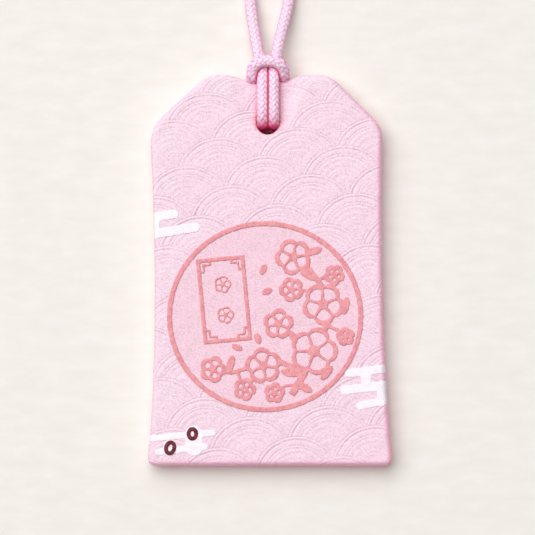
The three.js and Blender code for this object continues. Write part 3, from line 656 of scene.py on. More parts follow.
@dataclass(frozen=True)
class Jacquard(Finish):
    """Polyester jacquard, woven: a pale ground with raised wave lines, weft streaks and binding points.
    Painted relief shading on the lines, painted shade on the turned edge, beside the cord and on the hole's
    wall, and a painted glow in the hole and along the edge.
    """

    ground: str = "#f7deea"
    crest: str = "#fcebf4"
    groove: str = "#eebed4"
    plain: str = "#f5d4e0"
    # Painted shade of the turned edge, where the cloth rolls away from the light
    rolled: str = "#f3b0ca"
    speck: str = "#9c7d90"
    # Painted shade of the cloth beside the cord, and of the hole's wall
    crimson: str = "#f0447f"
    deep: str = "#7a1024"
    has_medallion: bool = True
    # Strengths of a painted glow, for light that seeps through the thin cloth into the hole and round the
    # turned edge
    seep: float = 0.35
    painted_edge_glow: float = 0.13
    # Where groove, ground and crest stand in the relief
    levels: tuple[float, float, float] = (0.14, 0.5, 0.86)
    # Patches where the relief is pressed flat
    wear_noise: Noise = (0.28, 2.0, 0.5)
    wear_span: Span = (0.42, 0.68, 0.0, 0.6)
    # Painted relief shading of the lines, from the side of each scale away from the light to the side that
    # faces it
    painted_shade_span: Span = (-0.2, 0.9, 0.25, 1.0)
    grain_noise: Noise = (3.4, 1.0, 0.5)
    tone_span: Span = (0.7, 1.3, 0.84, 1.10)
    # Real threads are about 0.12 mm apart. A pixel is 0.19 mm, so the weave is drawn at 0.42 mm.
    thread: float = 0.42
    thread_wander: Noise = (1.4, 1.0, 2.0)
    streak_scale: Place = (1.6, 3.6, 1.0)
    streak_noise: Noise = (1.0, 3.0, 0.6)
    relief_bump: Pair = (0.1, 0.9)
    weave_bump: Pair = (0.06, 0.6)
    # How far inside its radius the hole's wall starts and ends
    wall: Pair = (0.14, 0.03)
    ring_overlap: float = 0.5
    speck_cells: Pair = (2.1, 0.7)
    speck_span: Span = (0.16, 0.34, 1.0, 0.0)
    patch_noise: Noise = (0.3, 2.0, 0.5)
    patch_span: Span = (0.4, 0.62, 0.25, 0.75)
    beside_span: Span = (0.2, 0.6, 0.9, 0.22)
    roughness: float = 0.8
    shine: float = 0.15

    def shader(self, nodes: Nodes) -> dict[str, Value | str]:
        """Adds the cloth's nodes and gives the shader's inputs."""
        place = nodes.place(Location=(0.0, -BASE, 0.0))
        ridge, clear = self._ridges(nodes, place)
        inside = self._medallion(nodes, place) if self.has_medallion else 0.0
        flat = nodes.span(nodes.noise(place, self.wear_noise), self.wear_span)
        height = nodes.mix(nodes.maths("MAXIMUM", flat, inside), ridge, self.levels[1])
        stops = zip(self.levels, (self.groove, self.ground, self.crest))
        # The lines' colour contrast is a painted relief shading, which fades on the side of each scale away
        # from the light
        colour = nodes.ramp(nodes.mix(clear, self.levels[1], height), stops)
        colour = nodes.blend(inside, colour, self.plain)
        drawn_out = nodes.add("Mapping", {"Vector": place, "Scale": self.streak_scale})
        streak = nodes.noise(drawn_out, self.streak_noise)
        rough = nodes.maths("ADD", nodes.noise(place, self.grain_noise), streak)
        colour = nodes.toned(colour, nodes.span(rough, self.tone_span))
        colour = nodes.blend(self._specks(nodes, place, height), colour, self.speck)
        # Painted shade on the turned edge, beside the cord and on the hole's wall
        rolled, hole = nodes.attribute("rolled"), self._hole(nodes, place)
        marks = ((rolled, self.rolled), (nodes.attribute("contact"), self.crimson), (hole, self.deep))
        for share, shade in marks:
            colour = nodes.blend(share, colour, shade)
        # Painted glow in the hole and on the turned edge, strongest at the right and the base
        seep = nodes.maths("MULTIPLY", hole, self.seep)
        edge = nodes.maths("MULTIPLY", rolled, self.painted_edge_glow)
        twill = nodes.threads(place, self.thread, self.thread_wander, bands_direction="DIAGONAL")
        coarse = nodes.bump(height, self.relief_bump)
        return {
            "Base Color": colour,
            "Normal": nodes.bump(nodes.mix(0.5, twill, streak), self.weave_bump, Normal=coarse),
            "Roughness": self.roughness,
            "Specular IOR Level": self.shine,
            "Emission Color": nodes.blend(hole, self.rolled, self.deep),
            "Emission Strength": nodes.maths("MAXIMUM", seep, edge),
        }

    def _ridges(self, nodes: Nodes, place: Socket) -> tuple[Socket, Socket]:
        """Level of the wave relief (0 groove, 0.5 ground, 1 line), and the share of painted relief shading
        there, full on the side of each scale that faces the light.
        """
        maths = nodes.maths
        across, up = nodes.split(place)
        over = maths("MAXIMUM", maths("SUBTRACT", up, SCALES.gather_start), 0.0)
        drawn = maths("ADD", up, maths("MULTIPLY", maths("POWER", over, 2.0), SCALES.gather))
        gathered = nodes.add("CombineXYZ", {0: across, 1: drawn})
        moved = nodes.vector("SUBTRACT", gathered, (SCALES.centre_x, SCALES.centre_height, 0.0))
        tilted = nodes.add("VectorRotate", {"Vector": moved, "Angle": -SCALES.tilt}, rotation_type="Z_AXIS")
        a, b = nodes.split(tilted)
        b = maths("MULTIPLY", b, SCALES.flatness)
        row = SCALES.row * SCALES.flatness
        lowest = maths("CEIL", maths("DIVIDE", maths("SUBTRACT", b, SCALES.radius), row))
        found: Value = SCALES.radius
        toward_light: Value = 0.0
        for step in reversed(range(SCALES.candidates)):
            number = maths("ADD", lowest, float(step))
            odd = maths("FRACT", maths("MULTIPLY", number, 0.5))
            start = maths("SUBTRACT", a, maths("MULTIPLY", number, SCALES.shift))
            shifted = maths("ADD", maths("DIVIDE", start, SCALES.pitch), odd)
            wrapped = maths("SUBTRACT", maths("FRACT", maths("ADD", shifted, 0.5)), 0.5)
            rise = maths("SUBTRACT", b, maths("MULTIPLY", number, row))
            spot = nodes.add("CombineXYZ", {0: maths("MULTIPLY", wrapped, SCALES.pitch), 1: rise})
            reach = nodes.vector("LENGTH", spot, out="Value")
            shows = maths("LESS_THAN", reach, SCALES.radius)
            found = nodes.mix(shows, found, reach)
            # How far the place lies towards the light on its scale, for the painted relief shading
            toward_light = nodes.mix(shows, toward_light, nodes.vector("DOT_PRODUCT", spot, SCALES.lit_side, "Value"))
        stops = [(radius / SCALES.radius, level) for radius, level in SCALES.profile]
        ridge = nodes.ramp(maths("DIVIDE", found, SCALES.radius), stops)
        return ridge, nodes.span(maths("DIVIDE", toward_light, found), self.painted_shade_span)

    def _hole(self, nodes: Nodes, place: Socket) -> Socket:
        """1 on the wall of the punched hole."""
        flat = nodes.vector("MULTIPLY", place, (1.0, 1.0, 0.0))
        away = nodes.vector("DISTANCE", flat, (FORM.hole_x, FORM.hole_height, 0.0), "Value")
        start, end = (FORM.hole_radius - inset for inset in self.wall)
        return nodes.span(away, (start, end, 1.0, 0.0))

    def _medallion(self, nodes: Nodes, place: Socket) -> Socket:
        """1 inside the ring on the front face."""
        moved = nodes.vector("SUBTRACT", place, (MEDALLION.x, MEDALLION.height, 0.0))
        wide, tall = (half - self.ring_overlap for half in (MEDALLION.half_width, MEDALLION.half_height))
        scaled = nodes.vector("MULTIPLY", moved, (1 / wide, 1 / tall, 0.0))
        return nodes.maths("LESS_THAN", nodes.vector("LENGTH", scaled, out="Value"), 1.0)

    def _specks(self, nodes: Nodes, place: Socket, height: Socket) -> Socket:
        """Binding points: tiny darker dots that crowd beside the raised lines and in patches."""
        dot = nodes.span(nodes.cells(place, *self.speck_cells), self.speck_span)
        patch = nodes.span(nodes.noise(place, self.patch_noise), self.patch_span)
        dot = nodes.maths("MULTIPLY", dot, patch)
        return nodes.maths("MULTIPLY", dot, nodes.span(height, self.beside_span))


@dataclass(frozen=True)
class FigureThread(Finish):
    """Figure weft of a brocade, floated and bound: close threads with small pits where they are tied down."""

    colour: str
    shade: str
    light: str
    thread: float = 0.4
    angle: float = math.radians(35)
    relief: float = 0.05
    speck: float = 0.35
    thread_wander: Noise = (2.0, 2.0, 1.5)
    mottle_noise: Noise = (1.3, 4.0, 0.65)
    mottle_levels: tuple[float, float, float] = (0.32, 0.5, 0.7)
    pit_cells: Pair = (1.7, 0.9)
    pit_limits: Pair = (0.1, 0.2)
    bump_strength: float = 0.6
    roughness: float = 0.65
    shine: float = 0.2

    def shader(self, nodes: Nodes) -> dict[str, Value | str]:
        """Adds the threads' nodes and gives the shader's inputs."""
        place = nodes.place(Rotation=(0.0, 0.0, self.angle))
        stops = zip(self.mottle_levels, (self.shade, self.colour, self.light))
        mottle = nodes.ramp(nodes.noise(place, self.mottle_noise), stops)
        pits = nodes.span(nodes.cells(place, *self.pit_cells), (*self.pit_limits, self.speck, 0.0))
        threads = nodes.threads(place, self.thread, self.thread_wander)
        return {
            "Base Color": nodes.blend(pits, mottle, self.shade),
            "Normal": nodes.bump(threads, (self.relief, self.bump_strength)),
            "Roughness": self.roughness,
            "Specular IOR Level": self.shine,
        }


@dataclass(frozen=True)
class BraidYarn(Finish):
    """Filament polyester yarn, braided: silky, nearly white on the crowns, with painted shade in pink where
    strands dive under and a painted glow in its creases.
    """

    name: str = "braided_filament_polyester"
    crown: str = "#fce4f4"
    flank: str = "#f7c7e3"
    # Painted shade: deeper pink where strands dive under, at their edges and underneath, and on the cord's
    # sides
    crevice: str = "#d9589c"
    # Painted shade where the cord lies against itself or the cloth, and where it dives into the hole
    crimson: str = "#c4175c"
    deep: str = "#6b1024"
    levels: tuple[float, float, float] = (0.14, 0.55, 0.92)
    filaments: float = 5.0
    filament_stretch: float = 0.6
    filament_noise: Noise = (2.0, 2.0, 0.5)
    tone_span: Span = (0.3, 0.7, 0.92, 1.03)
    # Strength of a painted glow, for light that wanders through the fibres where the cord is pressed, and in
    # the braid's own creases
    seep: float = 0.3
    crease_seep: float = 0.7
    crease_top: float = 0.8
    filament_bump: Pair = (0.03, 0.6)
    roughness: float = 0.45
    shine: float = 0.3

    def shader(self, nodes: Nodes) -> dict[str, Value | str]:
        """Adds the yarn's nodes and gives the shader's inputs."""
        lift, contact, pit = (nodes.attribute(name) for name in ("lift", "contact", "pit"))
        # The lift, with its painted shade, sets the yarn's colour from crevice to crown
        colour = nodes.ramp(lift, zip(self.levels, (self.crevice, self.flank, self.crown)))
        around = nodes.add("UVMap", uv_map="strand")
        stretch = (self.filament_stretch, self.filaments, 1.0)
        lines = nodes.noise(nodes.add("Mapping", {"Vector": around, "Scale": stretch}), self.filament_noise)
        colour = nodes.toned(colour, nodes.span(lines, self.tone_span))
        # Painted shade where the cord is pressed and in the hole
        for share, shade in ((contact, self.crimson), (pit, self.deep)):
            colour = nodes.blend(share, colour, shade)
        # Painted glow where the cord is pressed and in its creases
        glow = nodes.maths("MULTIPLY", contact, nodes.maths("SUBTRACT", 1.0, pit))
        crease = nodes.span(lift, (0.0, self.crease_top, self.crease_seep, 0.0))
        glow = nodes.maths("MAXIMUM", glow, crease)
        return {
            "Base Color": colour,
            "Normal": nodes.bump(lines, self.filament_bump),
            "Roughness": self.roughness,
            "Specular IOR Level": self.shine,
            "Emission Color": self.crimson,
            "Emission Strength": nodes.maths("MULTIPLY", glow, self.seep),
        }


@dataclass(frozen=True)
class PlainStock(Finish):
    """Paper, card, planed wood, interlining or spun thread: a base tone with fibres or grain along it."""

    light: str
    dark: str
    grain: Place
    roughness: float = 0.85
    shine: float = 0.3
    fibres: Noise = (1.0, 4.0, 0.6)
    levels: Pair = (0.35, 0.65)
    bump: Pair = (0.02, 0.5)

    def shader(self, nodes: Nodes) -> dict[str, Value | str]:
        """Adds the fibres' nodes and gives the shader's inputs."""
        place = nodes.place(tuple(1 / MM / step for step in self.grain))
        fibres = nodes.noise(place, self.fibres)
        return {
            "Base Color": nodes.ramp(fibres, zip(self.levels, (self.dark, self.light))),
            "Normal": nodes.bump(fibres, self.bump),
            "Roughness": self.roughness,
            "Specular IOR Level": self.shine,
        }


CORAL = FigureThread("coral_figure_weft", "#ea9ca2", "#dc8993", "#f1aeb0")
MIST = FigureThread("white_figure_weft", "#fff6fd", "#fae7f5", "#ffffff", speck=0.15)
OVAL = FigureThread("dark_red_satin_stitch", "#722d36", "#541a22", "#8a3d46", thread=0.3, relief=0.09)
HALO = FigureThread("white_underlay_stitch", "#fbf3f9", "#f2dfea", "#ffffff", speck=0.1)


# The two cloth panels


class Panel(Enum):
    """The pouch's two cloth panels."""

    FRONT = "front_panel"
    BACK = "back_panel"

    @property
    def sign(self) -> int:
        """1 for the front, -1 for the back."""
        return 1 if self is Panel.FRONT else -1

    @property
    def cloth_slot(self) -> str:
        """The slot of the panel's cloth."""
        return "front_brocade" if self is Panel.FRONT else "back_brocade"

    def level(self, x: Points, height: Points, distance: Points | None = None) -> Points:
        """Level of the panel's cloth."""
        return (FORM.front if self is Panel.FRONT else FORM.back)(x, height, distance)


@dataclass
class ClothPanel:
    """One panel of the pouch: outer cloth with its woven relief, inner side, rolled edge and punched hole."""

    panel: Panel
    step: float
    inner_step: float = 1.3
    edge_steps: int = 9
    relief: float = 0.045
    relief_limits: Pair = (0.2, 1.2)
    plain_limits: Pair = (0.97, 1.0)
    # The cloth is drawn in at the hole's rim
    tuck: float = 0.3
    tuck_reach: float = 0.35
    inner_roll: float = 0.8
    # Below the hole the inner side is pulled towards it, by a share, and away from the face
    hem_pull: float = 0.3
    hem_reach: float = 0.5
    hem_limits: Pair = (-0.6, 0.9)
    hem_depth: float = 0.9
    # Painted shade of the rolled edge: its share, and the distances inwards over which it fades
    painted_edge_shades: tuple[Place, ...] = ((0.8, 0.15, 1.3), (0.2, 1.0, 6.5))
    # Painted light and shade by side: middle and swing of the edge's shade, and the powers across and along
    edge_shade_sides: Pair = (0.52, 0.4)
    edge_shade_powers: tuple[int, int] = (5, 9)
    # How far out, in radii of the hole, its rim is looked for, before and after the cloth is raised
    rim_reach: float = 2.0
    raised_reach: float = 1.6
    # Shade beside the cord: half the cords' width, then strengths and reaches of its line and of its haze
    contact_start: float = 2.05
    right_line: float = 0.74
    left_line: Pair = (0.25, 0.35)
    left_limits: Pair = (67.5, 70.0)
    line_reach: float = 0.36
    haze: Pair = (0.13, 1.3)
    contact_limits: Pair = (63.9, 65.6)

    def build(self, material: bpy.types.Material, name: str) -> Piece:
        """Models and dresses the panel.

        Args:
            material: The cloth.
            name: The finished piece's name.

        Returns:
            The closed panel, riding on the pouch.
        """
        outer = self._sheet(name, self.step, 0.0)
        inner = self._sheet(name + "_inner", self.inner_step, FORM.cloth)
        outer_count = len(outer.data.vertices)
        piece = join(name, [outer, inner])
        self._close(piece, outer_count)
        outward(piece)
        smooth(piece)
        dress(piece, material)
        return hand_over(piece, self.panel.value, self.panel.cloth_slot)

    def _stations(self, length: float, step: float) -> Points:
        """Places along a length, close together in the rolled edge at both ends."""
        reach = FORM.roll_reach
        turn = np.linspace(0, math.pi / 2, self.edge_steps + 1)
        near = reach * (1 - np.cos(turn))
        count = max(round((length - 2 * reach) / step), 2)
        middle = np.linspace(reach, length - reach, count + 1)[1:-1]
        return np.concatenate([near, middle, (length - near)[::-1]])

    def _sheet(self, name: str, step: float, depth: float) -> Piece:
        """A grid laid over one face of the pouch, sunk by a depth, with the hole cut out."""
        across = self._stations(FORM.base_width, step) / FORM.base_width * 2 - 1
        along = self._stations(FORM.height, step)
        columns, lines = len(across) - 1, len(along) - 1
        grid = bpy.ops.mesh.primitive_grid_add
        piece = primitive(grid, name, x_subdivisions=columns, y_subdivisions=lines, size=2)
        column, line = ((points_of(piece)[:, :2] + 1) / 2 * (columns, lines)).round().astype(int).T
        height = along[line]
        left, right = FORM.edges(height)
        x = (left + right) / 2 + across[column] * (right - left) / 2
        height = FORM.sink(x, height)
        set_points(piece, np.stack([x, height, np.zeros(len(x))], 1))
        self._cut_hole(piece)
        self._lift(piece, depth)
        return piece

    def _cut_hole(self, piece: Piece) -> None:
        """Cuts the hole in the flat grid and rounds its border."""
        hole = np.array([FORM.hole_x, FORM.hole_height])
        punch(piece, hole, FORM.hole_radius)
        border = partial(bpy.ops.mesh.select_non_manifold, extend=False)
        edit(piece, partial(bpy.ops.mesh.select_mode, type="VERT"), chosen("DESELECT"), border)
        points = points_of(piece)
        away = points[:, :2] - hole
        reach = np.linalg.norm(away, axis=1)
        rim = read(piece.data.vertices, "select", kind=bool) & (reach < FORM.hole_radius * self.rim_reach)
        points[rim, :2] = hole + away[rim] / reach[rim, None] * FORM.hole_radius
        set_points(piece, points)

    def _lift(self, piece: Piece, depth: float) -> None:
        """Raises the flat grid to the pouch's face, with its relief, and sets the painted shade of the turned
        edge and beside the cord.
        """
        points = points_of(piece)
        x, height = points[:, 0], points[:, 1]
        inside = FORM.inside(x, height)
        front, sign = self.panel is Panel.FRONT, self.panel.sign
        rim = np.hypot(x - FORM.hole_x, height - FORM.hole_height) - FORM.hole_radius
        tuck = self.tuck * np.exp(-((rim / self.tuck_reach) ** 2))
        level = self.panel.level(x, height, inside) - sign * tuck
        if depth:
            level = level - sign * depth * FORM.roll(inside * self.inner_roll)
            x = x * (1 - depth / (FORM.base_width / 2))
            height = depth + height * (1 - 2 * depth / FORM.height)
            hem = np.exp(-((np.clip(rim, 0, None) / self.hem_reach) ** 2))
            hem = hem * smoothstep(*self.hem_limits, FORM.hole_height - height)
            x = x + (FORM.hole_x - x) * self.hem_pull * hem
            height = height + (FORM.hole_height - height) * self.hem_pull * hem
            level = level - sign * self.hem_depth * hem
        else:
            lines = SCALES.relief(SCALES.distance(x, height))
            plain = smoothstep(*self.plain_limits, MEDALLION.share(x, height)) if front else 1.0
            level = level + sign * self.relief * lines * plain * smoothstep(*self.relief_limits, inside)
        set_points(piece, to_frame(np.stack([x, height, level], 1)))
        # Painted shade on the rolled edge, deeper at the right and the base, away from the light
        set_attribute(piece, "rolled", self._shade_by_side(x, height) * fades(self.painted_edge_shades, inside))
        if front and not depth:
            set_attribute(piece, "contact", self._contact(x, height))

    def _shade_by_side(self, x: Points, height: Points) -> Points:
        """How strong the rolled edge's painted shade is: thin at the left and the top, where the light falls,
        full at the right and the base.
        """
        away_x = np.clip(x / FORM.base_width * 2, -1, 1)
        away_y = np.clip((FORM.height / 2 - height) / FORM.height * 2, -1, 1)
        (middle, swing), (power_x, power_y) = self.edge_shade_sides, self.edge_shade_powers
        return middle + swing * np.clip(away_x**power_x + away_y**power_y, -1, 1)

    def _contact(self, x: Points, height: Points) -> Points:
        """Red-pink shade that the cord throws back on the cloth beside it."""
        side = np.maximum(np.abs(x - FORM.hole_x) - self.contact_start, 0)
        low, more = self.left_line
        left = low + more * (1 - smoothstep(*self.left_limits, height))
        line = np.where(x > FORM.hole_x, self.right_line, left)
        haze, haze_reach = self.haze
        beside = line * np.exp(-((side / self.line_reach) ** 2)) + haze * np.exp(-((side / haze_reach) ** 2))
        return beside * smoothstep(*self.contact_limits, height)

    def _close(self, piece: Piece, outer_count: int) -> None:
        """Joins the outer and the inner sheet along the hole's rim and along the seam."""
        mesh = piece.data
        used = read(mesh.loops, "edge_index", kind=int)
        ends = read(mesh.edges, "vertices", 2, int)
        border = np.zeros(len(mesh.vertices), bool)
        border[ends[np.bincount(used, minlength=len(mesh.edges)) == 1]] = True
        points = points_of(piece) / MM
        hole = np.array([FORM.hole_x, FORM.hole_height + BASE])
        middle = np.array([0.0, FORM.height / 2 + BASE])
        outer = np.arange(len(points)) < outer_count
        at_hole = np.linalg.norm(points[:, :2] - hole, axis=1) < self.raised_reach * FORM.hole_radius
        made = bmesh.new()
        made.from_mesh(mesh)
        made.verts.ensure_lookup_table()
        for centre, near in ((hole, at_hole), (middle, ~at_hole)):
            rings = [round_order(points, border & near & side, centre) for side in (outer, ~outer)]
            for corners in zipped_rings(*rings):
                made.faces.new([made.verts[index] for index in corners])
        made.to_mesh(mesh)
        made.free()


def round_order(points: Points, picked: Points, centre: Points) -> Ring:
    """Picked points in order round a centre, with their angles."""
    found = np.flatnonzero(picked)
    away = points[found, :2] - centre
    angle = np.arctan2(away[:, 1], away[:, 0])
    order = np.argsort(angle)
    return found[order].tolist(), angle[order]


def zipped_rings(first: Ring, second: Ring) -> list[tuple[int, int, int]]:
    """Triangles between two closed rings of points that go round the same centre."""
    (a, a_angle), (b, b_angle) = first, second
    a_next = np.append(a_angle[1:], a_angle[0] + math.tau)
    b_next = np.append(b_angle[1:], b_angle[0] + math.tau)
    faces = []
    i = j = 0
    while i < len(a) or j < len(b):
        here, there = a[i % len(a)], b[j % len(b)]
        if j == len(b) or (i < len(a) and a_next[i] <= b_next[j]):
            faces.append((here, a[(i + 1) % len(a)], there))
            i += 1
        else:
            faces.append((here, b[(j + 1) % len(b)], there))
            j += 1
    return faces


@dataclass
class Interlining:
    """Fused stiffening behind a panel, inside the turned edges."""

    panel: Panel
    margin: float = 3.4
    shoulder_share: float = 0.4
    shoulder_start: float = 2.0
    depth: float = 0.78
    thickness: float = 0.2
    step: float = 1.5
    hole_radius: float = 3.0
    sharp: float = 40.0

    def build(self, material: bpy.types.Material, node: str) -> Piece:
        """Models the stiffening as a thin sheet with the hole in it."""
        columns, rows = (round(size / self.step) for size in (FORM.base_width, FORM.height))
        name = node.replace("interlining", "stiffening")
        grid = bpy.ops.mesh.primitive_grid_add
        piece = primitive(grid, name, x_subdivisions=columns, y_subdivisions=rows, size=2)
        flat = points_of(piece)
        height = self.margin + (flat[:, 1] + 1) / 2 * (FORM.height - 2 * self.margin - FORM.mouth_dip)
        left, right = FORM.edges(height)
        shoulder = FORM.height - FORM.shoulder_drop - self.shoulder_start
        inset = self.margin * (1 + self.shoulder_share * smoothstep(shoulder, FORM.height, height))
        x = (left + right) / 2 + flat[:, 0] * ((right - left) / 2 - inset)
        level = self.panel.level(x, height) - self.panel.sign * self.depth
        set_points(piece, to_frame(np.stack([x, height, level], 1)))
        punch(piece, point_in_frame(FORM.hole_x, FORM.hole_height, 0.0)[:2], self.hole_radius * MM)
        modify(piece, "SOLIDIFY", thickness=self.thickness * MM, offset=-self.panel.sign)
        outward(piece)
        smooth(piece, self.sharp)
        dress(piece, material)
        return hand_over(piece, node, "interlining")


# Woven figures on the front face


@dataclass
class WovenFigure:
    """A figure of the front face: the CAD plate's outline, rounded like packed threads, laid on the cloth."""

    node: str
    slot: str
    voxel: float = 0.13
    height: float = 0.2
    sink: float = 0.04
    wobble: float = 0.05
    merge: float = 1e-7
    softening: float = 0.5
    passes: int = 3

    def build(self, material: bpy.types.Material) -> Piece:
        """Makes the rounded figure from a copy of its CAD plate."""
        piece = link(self.node + "_weft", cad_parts[self.node].data.copy())
        edit(piece, chosen("SELECT"), partial(bpy.ops.mesh.remove_doubles, threshold=self.merge))
        return self._finish(piece, material)

    def _finish(self, piece: Piece, material: bpy.types.Material) -> Piece:
        """Rounds, roughens, lays down and dresses the figure."""
        modify(piece, "REMESH", mode="VOXEL", voxel_size=self.voxel * MM)
        modify(piece, "SMOOTH", factor=self.softening, iterations=self.passes)
        self._drape(piece)
        smooth(piece)
        dress(piece, material)
        return hand_over(piece, self.node, self.slot)

    def _drape(self, piece: Piece) -> None:
        """Lays the figure on the cloth, with slightly uneven woven edges."""
        x, height, level = on_charm(piece).T
        low, high = level.min(), level.max()
        x = x + self.wobble * np.sin(7.3 * height + 1.7 * x) * np.sin(2.9 * height)
        height = height + self.wobble * np.sin(6.7 * x + 2.1 * height) * np.sin(3.3 * x)
        share = (level - low) / (high - low)
        level = FORM.front(x, height) - self.sink + share * (self.height + self.sink)
        set_points(piece, to_frame(np.stack([x, height, level], 1)))


@dataclass
class MistBand(WovenFigure):
    """A band of mist: stacked bars with round ends, joined by uprights, running over the rolled edge."""

    bars: tuple[tuple[Pair, Pair, float], ...] = ()
    bar_corners: int = 28
    bar_depth: float = 0.5
    edge_gap: float = 0.12

    def build(self, material: bpy.types.Material) -> Piece:
        """Models the bars, melts them into one and lays them on the cloth."""
        return self._finish(join(self.node + "_weft", [self._bar(*bar) for bar in self.bars]), material)

    def _bar(self, start: Pair, end: Pair, width: float) -> Piece:
        """One bar between two places: a round plate whose far half is pulled out."""
        span = np.array(end) - np.array(start)
        size = {"vertices": self.bar_corners, "radius": width / 2 * MM, "depth": self.bar_depth * MM}
        piece = primitive(bpy.ops.mesh.primitive_cylinder_add, self.node + "_bar", **size)
        points = points_of(piece)
        points[points[:, 0] > 0, 0] += np.linalg.norm(span) * MM
        x, y = turned(points[:, 0], points[:, 1], math.atan2(span[1], span[0]))
        points[:, 0], points[:, 1] = x + start[0] * MM, y + (start[1] + BASE) * MM
        set_points(piece, points)
        return piece

    def _drape(self, piece: Piece) -> None:
        """Pulls overhanging points onto the outline, then lays the band on the cloth."""
        points = points_of(piece) / MM
        left, right = FORM.edges(points[:, 1] - BASE)
        points[:, 0] = np.clip(points[:, 0], left + self.edge_gap, right - self.edge_gap)
        set_points(piece, points * MM)
        super()._drape(piece)


@dataclass
class OvalRing:
    """A small stitched oval ring over a white underlay."""

    node: str
    centre: Pair
    half_x: float
    half_y: float
    turn: float
    line: float = 0.78
    height: float = 0.34
    lift: float = 0.16
    halo: float = 0.22
    halo_height: float = 0.16
    halo_lift: float = 0.02
    stitches: int = 24
    stitch: float = 0.03
    major_segments: int = 96
    minor_segments: int = 16

    def build(self, thread: bpy.types.Material, underlay: bpy.types.Material) -> Piece:
        """Models ring and underlay as one piece with two materials."""
        rings = [
            self._ring(self.line / 2, self.height, self.lift),
            self._ring(self.line / 2 + self.halo, self.halo_height, self.halo_lift),
        ]
        for ring, material in zip(rings, (thread, underlay)):
            dress(ring, material)
        piece = join(self.node + "_stitched", rings)
        smooth(piece)
        return hand_over(piece, self.node, "dark_red_thread")

    def _ring(self, half_line: float, height: float, lift: float) -> Piece:
        """A torus flattened into a stitched oval."""
        segments = {"major_segments": self.major_segments, "minor_segments": self.minor_segments}
        radii = {"major_radius": 1.0, "minor_radius": 0.5}
        piece = primitive(bpy.ops.mesh.primitive_torus_add, self.node, **segments, **radii, generate_uvs=True)
        x, y, up = points_of(piece).T
        angle = np.arctan2(y, x)
        middle_x, middle_y = self.half_x - self.line / 2, self.half_y - self.line / 2
        stitch = self.stitch * np.sin(self.stitches * angle)
        out = (np.hypot(x, y) - 1) / radii["minor_radius"] * (half_line + stitch)
        normal_x, normal_y = np.cos(angle) * middle_y, np.sin(angle) * middle_x
        size = np.hypot(normal_x, normal_y)
        x = middle_x * np.cos(angle) + out * normal_x / size
        y = middle_y * np.sin(angle) + out * normal_y / size
        x, y = turned(x, y, self.turn)
        x, y = self.centre[0] + x, self.centre[1] + y
        level = FORM.front(x, y) + lift + up / radii["minor_radius"] * height / 2
        set_points(piece, to_frame(np.stack([x, y, level], 1)))
        return piece


# Braided cord


def along_curve(places: Sequence[Place], step: float) -> Points:
    """Evenly spaced points on the smooth curve through places (a centripetal Catmull-Rom spline)."""
    given = np.asarray(places, float)
    given = np.vstack([2 * given[0] - given[1], given, 2 * given[-1] - given[-2]])
    parts = []
    for index in range(1, len(given) - 2):
        p0, p1, p2, p3 = given[index - 1 : index + 3]
        knots = np.cumsum([0.0, *(np.linalg.norm(b - a) ** 0.5 for a, b in ((p0, p1), (p1, p2), (p2, p3)))])
        t = np.linspace(knots[1], knots[2], CURVE_POINTS, endpoint=False)[:, None]

        def between(first: Points, second: Points, low: int, high: int) -> Points:
            start, end = knots[low], knots[high]
            return (end - t) / (end - start) * first + (t - start) / (end - start) * second

        a1, a2, a3 = between(p0, p1, 0, 1), between(p1, p2, 1, 2), between(p2, p3, 2, 3)
        parts.append(between(between(a1, a2, 0, 2), between(a2, a3, 1, 3), 1, 2))
    dense = np.vstack([*parts, given[-2][None]])
    length = np.concatenate([[0], np.cumsum(np.linalg.norm(np.diff(dense, axis=0), axis=1))])
    wanted = np.linspace(0, length[-1], max(round(length[-1] / step), 2) + 1)
    return np.stack([np.interp(wanted, length, dense[:, axis]) for axis in range(3)], 1)


def carried_frames(route: Points, start: Place) -> Frames:
    """Two directions across a route that turn with it as little as they can."""
    tangents = unit(np.gradient(route, axis=0))
    across = np.array(start)
    sides = np.empty_like(route)
    for index, tangent in enumerate(tangents):
        across = across - (across @ tangent) * tangent
        across /= np.linalg.norm(across)
        sides[index] = across
    return sides, np.cross(tangents, sides)


def tube_points(
    line: Points, wide: Points, high: Points, half_width: float, half_height: float, sides: int
) -> Points:
    """Points of a tube: one ring after the other along a line."""
    ring = np.linspace(0, math.tau, sides, endpoint=False)[:, None]
    out = wide[:, None] * (np.cos(ring) * half_width) + high[:, None] * (np.sin(ring) * half_height)
    return (line[:, None] + out).reshape(-1, 3)


def tube_faces(first: int, count: int, sides: int) -> list[tuple[int, ...]]:
    """Faces of a closed tube whose rings start at a point."""
    last = first + (count - 1) * sides
    faces = [
        (low + side, low + side + sides, low + (side + 1) % sides + sides, low + (side + 1) % sides)
        for low in range(first, last, sides)
        for side in range(sides)
    ]
    return [*faces, tuple(range(first, first + sides)), tuple(range(last + sides - 1, last - 1, -1))]


